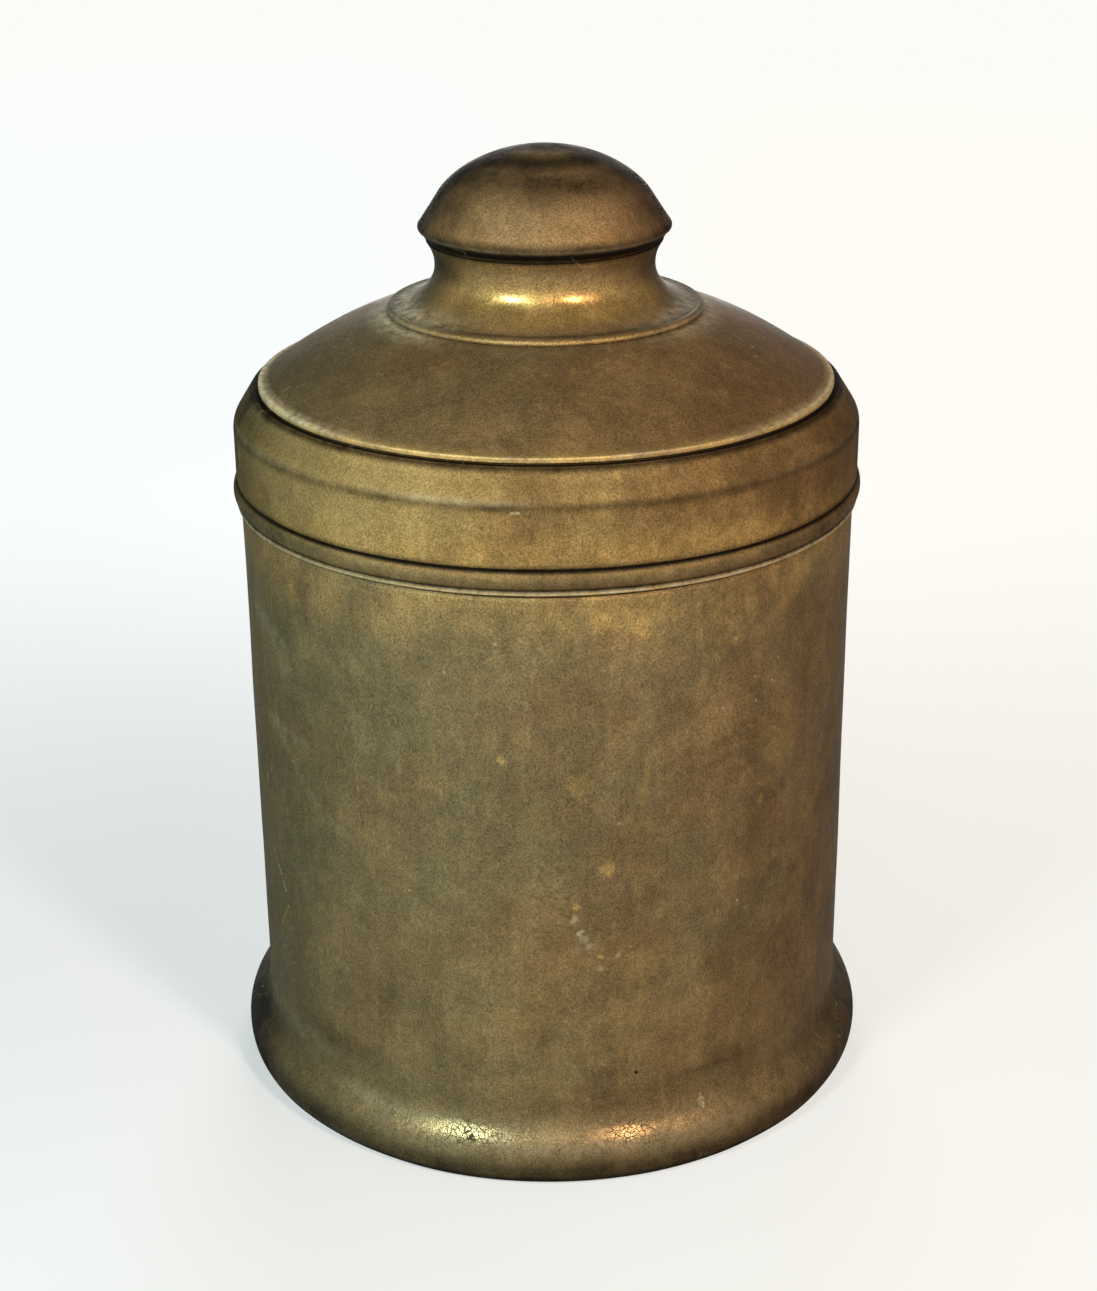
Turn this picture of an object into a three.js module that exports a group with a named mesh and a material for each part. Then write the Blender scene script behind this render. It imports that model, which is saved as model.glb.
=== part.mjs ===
// A spun-brass tobacco humidor: a tin-lined jar on a rolled foot, a slip-on lid with a hollow
// knob and a moistener, and a loose press that lies on the tobacco.
// Millimetres, +Z up, origin on the table at the centre of the foot.

import * as THREE from "three";

// Clearances
const SEAT_GAP = 0.3; // between two pieces that touch or are soldered together
const LID_FIT = 0.3; // lid skirt over the jar's mouth, each side
const PUSH_FIT = 0.3; // moistener sleeve over its collar, each side
const PRESS_FIT = 0.8; // press plate inside the liner, each side

// Jar: one spun shell with an ogee foot, a rolled-under hem and a necked mouth
const WALL_RADIUS = 52.8;
const WALL_SHEET = 1.0;
const JAR_SHOULDER_AT = 105.4; // top of the full-width wall, just under the lid's lip
const NECK_SLOPE = 0.7; // height over which the wall steps in to the neck
const FOOT_FLARE = 4.3; // widest part of the foot, beyond the wall
const FOOT_WIDEST_AT = 4.2;
const FOOT_ROUND = 6.8; // radius of the foot's bulging upper side
const FOOT_HOLLOW = 8.7; // radius of the hollow between the bulge and the wall
const FOOT_TUCK = 2.3; // from the widest part in to where the foot meets the table
const FOOT_HEM = 3.0; // flat hem turned in under the foot
const BASE_SHEET = 1.2;
const BASE_EDGE = 1.0; // base plate's edge, inside the foot's tread
const BASE_DISH = 1.2; // lift of the pressed middle of the base
const BASE_DISH_INSET = 6.5;

// Tin liner
const LINER_SHEET = 0.5;
const LINER_CORNER = 2.5;
const LINER_LIP_INSET = 0.3; // lip's edge, inside the neck's outer face

// Lid rim: lip, swaged bead, straight skirt, sloping shoulder and the ledge that carries the dome
const LID_SHEET = 0.9;
const SKIRT_PROUD = 0.6; // skirt, beyond the jar's wall
const LIP_HEIGHT = 0.9;
const BEAD_PROUD = 0.6;
const BEAD_HALF_HEIGHT = 1.5;
const SKIRT_HEIGHT = 14.2; // from the lip's edge to the bend of the shoulder
const BEND_SOFTENING = 0.9; // length of the bend on each side of the crease
const SHOULDER_RISE = 5.4;
const SHOULDER_INSET = 3.4;
const LEDGE_WIDTH = 3.6;
const RIM_BELOW_BEND = 2.8; // jar's rim, below the shoulder's bend
const SEAL_WIDTH = 5.0;

// Lid dome
const DOME_EDGE_INSET = 1.1; // ledge left showing round the dome's edge
const DOME_RIM_FLAT = 0.9;
const DOME_RISE = 11.0; // from the dome's flat rim to the knob's seat
const DOME_BULGE = 1.2; // how far the dome's side bows out from a straight cone
const CROWN_RISE = 2.4; // of the hidden crown under the knob

// Knob: a hollow stem and a cap, drawn down on the dome by one tie rod
const KNOB_SHEET = 0.7;
const KNOB_NECK_RADIUS = 18.5;
const KNOB_NECK_HEIGHT = 7.3; // above the flange's underside
const FLANGE_SPREAD = 8.1; // flange, beyond the neck
const FLANGE_EDGE = 0.9;
const FLANGE_STEP = 1.1; // width of the flange outside the cove
const COVE_REACH = 4.0; // how far the cove runs in nearly level
const COVE_RISE = 3.0; // how far the cove runs up nearly straight below the neck
const CAP_OVERHANG = 2.7; // cap, beyond the neck
const CAP_EDGE_HEIGHT = 13.8; // of the cap's sharp edge, above the flange's underside
const CAP_SEAM_DROP = 2.2; // seam between stem and cap, below the cap's edge
const CAP_SEAM_INSET = 1.3;
const CAP_SIDE_RISE = 5.3; // straight lower side of the cap
const CAP_SIDE_INSET = 3.4;
const CAP_CROWN_RISE = 7.7; // rounded top, above the straight side
const SPIGOT_STEP = 1.0; // spigot inside the seam
const SPIGOT_HEIGHT = 2.6;

// Tie rod, washer and nut
const ROD_RADIUS = 2.0;
const ROD_HEAD_RADIUS = 5.0;
const ROD_HEAD_THICKNESS = 1.2;
const ROD_TAIL = 2.0; // rod left showing below the nut
const WASHER_RADIUS = 7.0;
const WASHER_THICKNESS = 1.0;
const NUT_ACROSS_FLATS = 7.0;
const NUT_HEIGHT = 3.2;

// Moistener: a collar under the dome, and a sleeve with a grille and a clay disc that pushes on it
const COLLAR_RADIUS = 27.0;
const COLLAR_SHEET = 0.8;
const ROD_TO_CLAY = 3.0; // air between the rod's end and the collar's lower edge
const SLEEVE_SHEET = 0.7;
const SLEEVE_TOP_DROP = 1.0; // sleeve's top edge, below the collar's
const SLEEVE_LEDGE = 1.8;
const GRILLE_THICKNESS = 0.8;
const GRILLE_HOLE_RADIUS = 1.8;
const GRILLE_RINGS = [
  { radius: 0, holes: 1 },
  { radius: 9, holes: 6 },
  { radius: 18, holes: 12 },
];
const CLAY_THICKNESS = 5.0;
const CLAY_CHAMFER = 0.6;

// Tobacco press
const PRESS_THICKNESS = 4.0;
const PRESS_CHAMFER = 0.6;
const PRESS_KNOB_HEIGHT = 15.0;
const PRESS_KNOB_RADIUS = 8.0;
const PRESS_KNOB_WAIST = 3.8;
const PRESS_KNOB_FOOT = 6.5;
const SCREW_RADIUS = 1.6;
const SCREW_HEAD_RADIUS = 3.2;
const SCREW_BITE = 7.0; // length of the screw inside the knob

// Facets round each turned piece
const WIDE_FACETS = 44;
const KNOB_FACETS = 36;
const SMALL_FACETS = 20;
const HOLE_FACETS = 8;

// Finishes
const brass = (name, colour, roughness) =>
  new THREE.MeshStandardMaterial({ name, color: colour, roughness, metalness: 0.9 });
const AGED_BRASS = brass("aged_brass", 0x75643c, 0.45);
const BARE_BRASS = brass("bare_brass", 0x9c8248, 0.35);
const TIN = new THREE.MeshStandardMaterial({ name: "tin", color: 0x8b8a86, roughness: 0.45, metalness: 0.9 });
const CORK = new THREE.MeshStandardMaterial({ name: "cork", color: 0x9a7a52, roughness: 0.9, metalness: 0 });
const CLAY = new THREE.MeshStandardMaterial({ name: "clay", color: 0xb06a48, roughness: 0.95, metalness: 0 });

// Profiles are lists of (radius, height) points
const at = (radius, height) => new THREE.Vector2(radius, height);
const degrees = THREE.MathUtils.degToRad;

function arc(centre, radius, from, to, steps, heightRadius = radius) {
  const clockwise = to < from;
  const curve = new THREE.EllipseCurve(
    centre.x, centre.y, radius, heightRadius, degrees(from), degrees(to), clockwise,
  );
  return curve.getPoints(steps);
}

function bow(start, control, end, steps) {
  return new THREE.QuadraticBezierCurve(start, control, end).getPoints(steps);
}

function sweep(start, leaveBy, arriveBy, end, steps) {
  const leaving = start.clone().add(leaveBy);
  const arriving = end.clone().sub(arriveBy);
  return new THREE.CubicBezierCurve(start, leaving, arriving, end).getPoints(steps);
}

// One line through several stretches, without the points that two stretches share
function joined(...stretches) {
  const points = stretches.flat();
  return points.filter((p, i) => i === 0 || p.distanceTo(points[i - 1]) > 1e-4);
}

// The other face of a sheet, to the left of the way its outer face runs: inwards as that face climbs
function insideOf(outer, thickness) {
  const leftOf = (a, b) => at(a.y - b.y, b.x - a.x).normalize();
  const last = outer.length - 1;
  return outer.map((p, i) => {
    const arriving = leftOf(outer[Math.max(i - 1, 0)], outer[Math.max(i, 1)]);
    const leaving = leftOf(outer[Math.min(i, last - 1)], outer[Math.min(i + 1, last)]);
    const between = arriving.clone().add(leaving).normalize();
    const moved = p.clone().addScaledVector(between, thickness / between.dot(leaving));
    return at(p.x === 0 ? 0 : moved.x, moved.y);
  });
}

// A closed section between a sheet's two faces
const section = (outer, inner) => joined(outer, [...inner].reverse(), [outer[0].clone()]);
const sheet = (outer, thickness) => section(outer, insideOf(outer, thickness));
const closed = (...points) => [...points, points[0].clone()];

// Height of a profile at a radius, and radius of a profile at a height
function crossing(profile, value, along, wanted) {
  for (let i = 1; i < profile.length; i += 1) {
    const [a, b] = [profile[i - 1], profile[i]];
    const share = (value - a[along]) / (b[along] - a[along]);
    if (share >= 0 && share <= 1) return a[wanted] + share * (b[wanted] - a[wanted]);
  }
  throw new Error("the profile does not reach that far");
}
const heightAt = (profile, radius) => crossing(profile, radius, "x", "y");
const radiusAt = (profile, height) => crossing(profile, height, "y", "x");

function turned(profile, facets) {
  return new THREE.LatheGeometry(profile, facets).rotateX(Math.PI / 2);
}

const parts = new THREE.Group();

function add(group, name, geometry, material) {
  const mesh = new THREE.Mesh(geometry, material);
  mesh.name = name;
  group.add(mesh);
}

// Jar
const skirtRadius = WALL_RADIUS + SKIRT_PROUD;
const lidBore = skirtRadius - LID_SHEET;
const neckRadius = lidBore - LID_FIT;
const lipAt = JAR_SHOULDER_AT + SEAT_GAP;
const bendAt = lipAt + SKIRT_HEIGHT;
const rimAt = bendAt - RIM_BELOW_BEND;
const footRadius = WALL_RADIUS + FOOT_FLARE;
const treadRadius = footRadius - FOOT_TUCK;
const jar = new THREE.Group();

function footProfile() {
  const roundCentre = at(footRadius - FOOT_ROUND, FOOT_WIDEST_AT);
  const across = WALL_RADIUS + FOOT_HOLLOW - roundCentre.x;
  const climb = Math.sqrt((FOOT_ROUND + FOOT_HOLLOW) ** 2 - across ** 2);
  const turn = THREE.MathUtils.radToDeg(Math.atan2(climb, across));
  const hollowCentre = at(WALL_RADIUS + FOOT_HOLLOW, FOOT_WIDEST_AT + climb);
  return joined(
    [at(treadRadius - FOOT_HEM, 0)],
    arc(at(treadRadius, FOOT_WIDEST_AT), FOOT_TUCK, -90, 0, 3, FOOT_WIDEST_AT),
    arc(roundCentre, FOOT_ROUND, 0, turn, 4),
    arc(hollowCentre, FOOT_HOLLOW, 180 + turn, 180, 3),
  );
}

function jarWall() {
  const outer = joined(footProfile(), [
    at(WALL_RADIUS, JAR_SHOULDER_AT - NECK_SLOPE),
    at(neckRadius, JAR_SHOULDER_AT),
    at(neckRadius, rimAt),
  ]);
  return turned(sheet(outer, WALL_SHEET), WIDE_FACETS);
}

const baseUnderside = WALL_SHEET + SEAT_GAP;
const baseTop = baseUnderside + BASE_SHEET + BASE_DISH;

function basePlate() {
  const edge = treadRadius - BASE_EDGE;
  const dishEdge = edge - BASE_DISH_INSET;
  const upper = [
    at(edge, baseUnderside + BASE_SHEET),
    at(dishEdge, baseUnderside + BASE_SHEET),
    at(dishEdge - BASE_DISH, baseTop),
    at(0, baseTop),
  ];
  const lower = upper.map((p) => at(p.x, p.y - BASE_SHEET));
  return turned(joined([...lower].reverse(), upper), WIDE_FACETS);
}

const linerRadius = neckRadius - WALL_SHEET - SEAT_GAP;
const linerBore = linerRadius - LINER_SHEET;
const linerUnderside = baseTop + SEAT_GAP;
const linerFloor = linerUnderside + LINER_SHEET;
const linerLipTop = rimAt + SEAT_GAP + LINER_SHEET;

function tinLiner() {
  const corner = at(linerRadius - LINER_CORNER, linerUnderside + LINER_CORNER);
  const lipRadius = neckRadius - LINER_LIP_INSET;
  const outside = joined(
    [at(0, linerUnderside)],
    arc(corner, LINER_CORNER, -90, 0, 2),
    [at(linerRadius, linerLipTop - LINER_SHEET), at(lipRadius, linerLipTop - LINER_SHEET)],
  );
  const inside = joined(
    [at(lipRadius, linerLipTop), at(linerBore, linerLipTop)],
    arc(corner, LINER_CORNER - LINER_SHEET, 0, -90, 2),
    [at(0, linerFloor)],
  );
  return turned(joined(outside, inside), WIDE_FACETS);
}

add(jar, "jar_wall", jarWall(), AGED_BRASS);
add(jar, "base_plate", basePlate(), AGED_BRASS);
add(jar, "tin_liner", tinLiner(), TIN);
parts.add(jar);

// Lid
const ledgeAt = bendAt + SHOULDER_RISE;
const shoulderTop = skirtRadius - SHOULDER_INSET;
const lid = new THREE.Group();

function lidRimOuter() {
  const beadAt = lipAt + LIP_HEIGHT + BEAD_HALF_HEIGHT;
  const bend = at(skirtRadius, bendAt);
  const top = at(shoulderTop, ledgeAt);
  const slope = top.clone().sub(bend).setLength(BEND_SOFTENING);
  return joined(
    [at(skirtRadius, lipAt)],
    arc(at(skirtRadius, beadAt), BEAD_PROUD, -90, 90, 4, BEAD_HALF_HEIGHT),
    bow(at(skirtRadius, bendAt - BEND_SOFTENING), bend, bend.clone().add(slope), 2),
    [top, at(shoulderTop - LEDGE_WIDTH, ledgeAt)],
  );
}

// The cork ring fills the corner between the jar's rim and the shoulder
function corkSeal() {
  const bottom = linerLipTop + SEAT_GAP;
  const top = ledgeAt - LID_SHEET - SEAT_GAP;
  const lining = insideOf(lidRimOuter(), LID_SHEET + SEAT_GAP);
  const bore = neckRadius - SEAL_WIDTH;
  const facing = lining.filter((p) => p.y > bottom && p.y < top && p.x > bore);
  const topRadius = Math.max(radiusAt(lining, top), bore + SEAT_GAP);
  const outer = joined([at(radiusAt(lining, bottom), bottom)], facing, [at(topRadius, top)]);
  return turned(closed(at(bore, bottom), ...outer, at(bore, top)), WIDE_FACETS);
}

const domeEdge = shoulderTop - DOME_EDGE_INSET;
const domeRimTop = ledgeAt + SEAT_GAP + LID_SHEET;
const flangeRadius = KNOB_NECK_RADIUS + FLANGE_SPREAD;
const rodHole = ROD_RADIUS + SEAT_GAP;

function domeOuter() {
  const foot = at(domeEdge - DOME_RIM_FLAT, domeRimTop);
  const seat = at(flangeRadius, domeRimTop + DOME_RISE);
  const outwards = at(seat.y - foot.y, foot.x - seat.x).setLength(2 * DOME_BULGE);
  const control = foot.clone().add(seat).multiplyScalar(0.5).add(outwards);
  const leaving = seat.clone().sub(control);
  const crownControl = seat.clone().addScaledVector(leaving, CROWN_RISE / leaving.y);
  const crown = at(rodHole, seat.y + CROWN_RISE);
  return joined(
    [at(domeEdge, domeRimTop)],
    bow(foot, control, seat, 5),
    bow(seat, crownControl, crown, 2),
  );
}

const domeTopFace = domeOuter();
const domeUnderside = insideOf(domeTopFace, LID_SHEET);

add(lid, "lid_rim", turned(sheet(lidRimOuter(), LID_SHEET), WIDE_FACETS), AGED_BRASS);
add(lid, "cork_seal", corkSeal(), CORK);
add(lid, "lid_dome", turned(section(domeTopFace, domeUnderside), WIDE_FACETS), AGED_BRASS);

// Knob
const flangeAt = heightAt(domeTopFace, flangeRadius) + SEAT_GAP;
const capRadius = KNOB_NECK_RADIUS + CAP_OVERHANG;
const capEdgeAt = flangeAt + CAP_EDGE_HEIGHT;
const seam = at(capRadius - CAP_SEAM_INSET, capEdgeAt - CAP_SEAM_DROP);
const spigotRadius = seam.x - SPIGOT_STEP;

function knobStem() {
  const neck = at(KNOB_NECK_RADIUS, flangeAt + KNOB_NECK_HEIGHT);
  const crease = at(flangeRadius - FLANGE_STEP, flangeAt + FLANGE_EDGE);
  const edge = [
    at(flangeRadius, flangeAt),
    at(flangeRadius, flangeAt + FLANGE_EDGE / 2),
    at(flangeRadius - FLANGE_STEP / 3, flangeAt + FLANGE_EDGE),
  ];
  const cove = sweep(crease, at(-COVE_REACH, FLANGE_EDGE / 2), at(0, COVE_RISE), neck, 6);
  const flareRise = (seam.y - neck.y) / 2;
  const flare = sweep(neck, at(0, flareRise), at(seam.x - neck.x, flareRise).multiplyScalar(0.5), seam, 3);
  const spigotBore = spigotRadius - KNOB_SHEET;
  const spigotTop = seam.y + SPIGOT_HEIGHT;
  const outer = joined(edge, cove, flare, [at(spigotRadius, seam.y), at(spigotRadius, spigotTop)]);
  const inner = joined(insideOf(cove, KNOB_SHEET), [at(spigotBore, seam.y), at(spigotBore, spigotTop)]);
  return turned(section(outer, inner), KNOB_FACETS);
}

const capSideTop = at(capRadius - CAP_SIDE_INSET, capEdgeAt + CAP_SIDE_RISE);
const capTopAt = capSideTop.y + CAP_CROWN_RISE;

// The cap's straight side and its flattened round top
function capDome() {
  const edge = at(capRadius, capEdgeAt);
  const climb = capSideTop.clone().sub(edge).setLength(CAP_CROWN_RISE / 2);
  const level = at(-capSideTop.x / 2, 0);
  return joined([edge], sweep(capSideTop, climb, level, at(0, capTopAt), 7));
}

const capInside = insideOf(capDome(), KNOB_SHEET);

function knobCap() {
  const rimAtSeam = seam.y + SEAT_GAP;
  const outer = joined([at(seam.x, rimAtSeam)], capDome());
  const inner = joined([at(spigotRadius + SEAT_GAP, rimAtSeam)], capInside);
  return turned(joined([inner[0].clone()], outer, [...inner].reverse()), KNOB_FACETS);
}

add(lid, "knob_stem", knobStem(), AGED_BRASS);
add(lid, "knob_cap", knobCap(), AGED_BRASS);

// Tie rod from the cap's crown, through the stem and the dome, to the nut
const rodHeadTop = heightAt(capInside, ROD_HEAD_RADIUS) - SEAT_GAP;
const washerTop = heightAt(domeUnderside, WASHER_RADIUS) - SEAT_GAP;
const nutTop = washerTop - WASHER_THICKNESS - SEAT_GAP;
const rodEnd = nutTop - NUT_HEIGHT - ROD_TAIL;

function tieRod() {
  const neck = rodHeadTop - ROD_HEAD_THICKNESS;
  const profile = [
    at(0, rodEnd),
    at(ROD_RADIUS, rodEnd),
    at(ROD_RADIUS, neck),
    at(ROD_HEAD_RADIUS, neck),
    at(ROD_HEAD_RADIUS, rodHeadTop),
    at(0, rodHeadTop),
  ];
  return turned(profile, SMALL_FACETS);
}

function rodWasher() {
  const bottom = washerTop - WASHER_THICKNESS;
  const ring = [
    at(rodHole, bottom),
    at(WASHER_RADIUS, bottom),
    at(WASHER_RADIUS, washerTop),
    at(rodHole, washerTop),
  ];
  return turned(closed(...ring), SMALL_FACETS);
}

const circle = (x, y, radius, facets) =>
  new THREE.EllipseCurve(x, y, radius, radius, 0, 2 * Math.PI).getPoints(facets).slice(0, -1);

function plate(outline, holes, thickness) {
  const shape = new THREE.Shape(outline);
  shape.holes = holes.map((hole) => new THREE.Path(hole));
  return new THREE.ExtrudeGeometry(shape, { depth: thickness, bevelEnabled: false });
}

function rodNut() {
  const hexagon = circle(0, 0, NUT_ACROSS_FLATS / Math.sqrt(3), 6);
  const nut = plate(hexagon, [circle(0, 0, rodHole, SMALL_FACETS)], NUT_HEIGHT);
  return nut.translate(0, 0, nutTop - NUT_HEIGHT);
}

add(lid, "tie_rod", tieRod(), BARE_BRASS);
add(lid, "rod_washer", rodWasher(), BARE_BRASS);
add(lid, "rod_nut", rodNut(), BARE_BRASS);

// Moistener collar, soldered under the dome
const collarTop = heightAt(domeUnderside, COLLAR_RADIUS) - SEAT_GAP;
const collarBottom = rodEnd - ROD_TO_CLAY;

function moistenerCollar() {
  const bore = COLLAR_RADIUS - COLLAR_SHEET;
  const ring = [
    at(bore, collarBottom),
    at(COLLAR_RADIUS, collarBottom),
    at(COLLAR_RADIUS, collarTop),
    at(bore, collarTop),
  ];
  return turned(closed(...ring), KNOB_FACETS);
}

add(lid, "moistener_collar", moistenerCollar(), BARE_BRASS);
parts.add(lid);

// Moistener, pulled straight down off its collar to be wetted
const sleeveBore = COLLAR_RADIUS + PUSH_FIT;
const sleeveRadius = sleeveBore + SLEEVE_SHEET;
const sleeveTop = Math.min(collarTop, heightAt(domeUnderside, sleeveRadius) - SEAT_GAP) - SLEEVE_TOP_DROP;
const clayTop = collarBottom - SEAT_GAP;
const grilleTop = clayTop - CLAY_THICKNESS - SEAT_GAP;
const ledgeTop = grilleTop - GRILLE_THICKNESS - SEAT_GAP;
const sleeveBottom = ledgeTop - SLEEVE_SHEET;
const moistener = new THREE.Group();

function moistenerSleeve() {
  const ring = [
    at(sleeveBore - SLEEVE_LEDGE, sleeveBottom),
    at(sleeveRadius, sleeveBottom),
    at(sleeveRadius, sleeveTop),
    at(sleeveBore, sleeveTop),
    at(sleeveBore, ledgeTop),
    at(sleeveBore - SLEEVE_LEDGE, ledgeTop),
  ];
  return turned(closed(...ring), KNOB_FACETS);
}

function moistenerGrille() {
  const holes = GRILLE_RINGS.flatMap(({ radius, holes: count }) =>
    Array.from({ length: count }, (_, i) => {
      const turn = (2 * Math.PI * i) / count;
      return circle(radius * Math.cos(turn), radius * Math.sin(turn), GRILLE_HOLE_RADIUS, HOLE_FACETS);
    }),
  );
  const disc = circle(0, 0, sleeveBore - SEAT_GAP, KNOB_FACETS);
  return plate(disc, holes, GRILLE_THICKNESS).translate(0, 0, grilleTop - GRILLE_THICKNESS);
}

function moistenerClay() {
  const radius = sleeveBore - SEAT_GAP;
  const bottom = clayTop - CLAY_THICKNESS;
  const profile = [
    at(0, bottom),
    at(radius - CLAY_CHAMFER, bottom),
    at(radius, bottom + CLAY_CHAMFER),
    at(radius, clayTop - CLAY_CHAMFER),
    at(radius - CLAY_CHAMFER, clayTop),
    at(0, clayTop),
  ];
  return turned(profile, KNOB_FACETS);
}

add(moistener, "moistener_sleeve", moistenerSleeve(), BARE_BRASS);
add(moistener, "moistener_grille", moistenerGrille(), BARE_BRASS);
add(moistener, "moistener_clay", moistenerClay(), CLAY);
parts.add(moistener);

// Press, loose in the liner, with a turned knob held by a screw from below
const pressBottom = linerFloor + SEAT_GAP;
const pressTop = pressBottom + PRESS_THICKNESS;
const screwHole = SCREW_RADIUS + SEAT_GAP;
const screwSink = SCREW_HEAD_RADIUS - SCREW_RADIUS;
const press = new THREE.Group();

// The plate's lower edge is rounded like the liner's corner that it drops into
function pressPlate() {
  const radius = linerBore - PRESS_FIT;
  const round = LINER_CORNER - LINER_SHEET;
  const ring = joined(
    [at(screwHole + screwSink, pressBottom)],
    arc(at(radius - round, pressBottom + round), round, -90, 0, 2),
    [
      at(radius, pressTop - PRESS_CHAMFER),
      at(radius - PRESS_CHAMFER, pressTop),
      at(screwHole, pressTop),
      at(screwHole, pressBottom + screwSink),
    ],
  );
  return turned(closed(...ring), WIDE_FACETS);
}

const pressKnobBottom = pressTop + SEAT_GAP;

function pressKnob() {
  const ball = PRESS_KNOB_RADIUS;
  const ballAt = pressKnobBottom + PRESS_KNOB_HEIGHT - ball * 0.75;
  const waistAt = (pressKnobBottom + ballAt - ball / 2) / 2;
  const boreTop = pressTop + SCREW_BITE + SEAT_GAP;
  const profile = joined(
    [at(screwHole, pressKnobBottom), at(PRESS_KNOB_FOOT, pressKnobBottom)],
    sweep(
      at(PRESS_KNOB_FOOT, pressKnobBottom + FLANGE_EDGE),
      at(PRESS_KNOB_WAIST - PRESS_KNOB_FOOT, 0),
      at(0, (waistAt - pressKnobBottom) / 2),
      at(PRESS_KNOB_WAIST, waistAt),
      4,
    ),
    arc(at(0, ballAt), ball, -40, 90, 7, ball * 0.75),
    [at(0, boreTop), at(screwHole, boreTop), at(screwHole, pressKnobBottom)],
  );
  return turned(profile, SMALL_FACETS);
}

function pressScrew() {
  const profile = [
    at(0, pressBottom),
    at(SCREW_HEAD_RADIUS, pressBottom),
    at(SCREW_RADIUS, pressBottom + screwSink),
    at(SCREW_RADIUS, pressTop + SCREW_BITE),
    at(0, pressTop + SCREW_BITE),
  ];
  return turned(profile, SMALL_FACETS);
}

add(press, "press_plate", pressPlate(), TIN);
add(press, "press_knob", pressKnob(), BARE_BRASS);
add(press, "press_screw", pressScrew(), BARE_BRASS);
parts.add(press);

export default parts;
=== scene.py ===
# %% [markdown]
# A spun-brass tobacco humidor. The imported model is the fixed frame: it says where each piece is
# and how it moves. Every visible piece is turned again here on a finer lathe, and then gets the
# tarnish, worn edges and polish residue of an old brass jar.

# %% Load the frame
import math

import bpy
import numpy as np
from mathutils import Matrix, Vector, geometry


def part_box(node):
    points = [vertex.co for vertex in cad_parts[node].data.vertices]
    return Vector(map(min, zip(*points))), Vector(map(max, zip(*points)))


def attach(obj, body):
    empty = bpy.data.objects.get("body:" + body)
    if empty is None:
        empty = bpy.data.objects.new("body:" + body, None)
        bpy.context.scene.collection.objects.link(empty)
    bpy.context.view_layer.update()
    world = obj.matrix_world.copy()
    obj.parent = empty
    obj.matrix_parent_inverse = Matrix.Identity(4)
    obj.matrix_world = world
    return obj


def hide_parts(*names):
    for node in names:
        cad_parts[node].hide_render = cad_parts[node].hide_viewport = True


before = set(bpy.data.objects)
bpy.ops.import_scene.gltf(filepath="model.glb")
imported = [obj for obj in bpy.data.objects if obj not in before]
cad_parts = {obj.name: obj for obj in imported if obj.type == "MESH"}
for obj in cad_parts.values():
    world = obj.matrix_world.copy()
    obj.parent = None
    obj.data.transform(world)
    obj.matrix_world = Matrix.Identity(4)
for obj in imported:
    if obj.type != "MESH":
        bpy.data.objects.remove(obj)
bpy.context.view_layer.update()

MM = 0.001

# %% [markdown]
# The camera stands where the photographer stood: a little above the lid and close, so the jar
# narrows towards its foot. The place, tilt and lens were worked out from the jar's own outline.
# A camera's axes are its right, its up and the way back from the object, so the turn is built
# from those three directions.

# %% Camera
CAMERA_PLACE = Vector((0.0, -0.3783, 0.23275))
CAMERA_PITCH = math.radians(22.57)
CAMERA_ROLL = math.radians(-0.53)
CAMERA_LENS, SENSOR_WIDTH = 63.75, 36

looking = Vector((0, math.cos(CAMERA_PITCH), -math.sin(CAMERA_PITCH)))
level = Vector((1, 0, 0))
upward = level.cross(looking)
right = math.cos(CAMERA_ROLL) * level + math.sin(CAMERA_ROLL) * upward
up = math.cos(CAMERA_ROLL) * upward - math.sin(CAMERA_ROLL) * level
facing = Matrix((right, up, -looking)).transposed().to_4x4()
bpy.ops.object.camera_add(location=CAMERA_PLACE)
camera = bpy.context.active_object
camera.matrix_world = Matrix.Translation(CAMERA_PLACE) @ facing
camera.data.sensor_width = SENSOR_WIDTH
camera.data.lens = CAMERA_LENS
bpy.context.scene.camera = camera
print("camera at", tuple(round(v, 3) for v in CAMERA_PLACE))

# %% [markdown]
# A spun vessel is drawn as half of its section and turned about its axis. The section is written
# in millimetres as (radius, height) points; curves are arcs and Bezier stretches.

# %% Section tools
SAME_POINT = 0.004


def arc(centre, radius, start, end, steps, tall=None):
    tall = radius if tall is None else tall
    angles = [math.radians(start + (end - start) * i / steps) for i in range(steps + 1)]
    return [(centre[0] + radius * math.cos(a), centre[1] + tall * math.sin(a)) for a in angles]


def sweep(start, leave_by, arrive_by, end, steps):
    knots = [start, (start[0] + leave_by[0], start[1] + leave_by[1]),
             (end[0] - arrive_by[0], end[1] - arrive_by[1]), end]
    curve = geometry.interpolate_bezier(*[Vector((r, z, 0)) for r, z in knots], steps + 1)
    return [(p.x, p.y) for p in curve]


def straight(start, end, steps):
    return [(start[0] + (end[0] - start[0]) * i / steps,
             start[1] + (end[1] - start[1]) * i / steps) for i in range(steps + 1)]


def joined(*stretches):
    line = []
    for p in (p for stretch in stretches for p in stretch):
        if not line or math.dist(p, line[-1]) > SAME_POINT:
            line.append(p)
    return line


def inner_face(outer, thickness):
    """The other face of a sheet, to the left of the way its outer face runs."""
    face = []
    for i, (r, z) in enumerate(outer):
        before, after = outer[max(i - 1, 0)], outer[min(i + 1, len(outer) - 1)]
        along = Vector((after[0] - before[0], after[1] - before[1])).normalized()
        inset = max(r - along.y * thickness, 0.0) if r > 0 else 0.0
        face.append((inset, z + along.x * thickness))
    return face


def ring(outer, inner):
    return joined(outer, inner[::-1], [outer[0]])


print("section tools ready")

# %% [markdown]
# The lathe starts from a plane merged to one vertex. Each extrusion moves on by one step of the
# section, and Spin turns the finished line about the Z axis.

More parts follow.
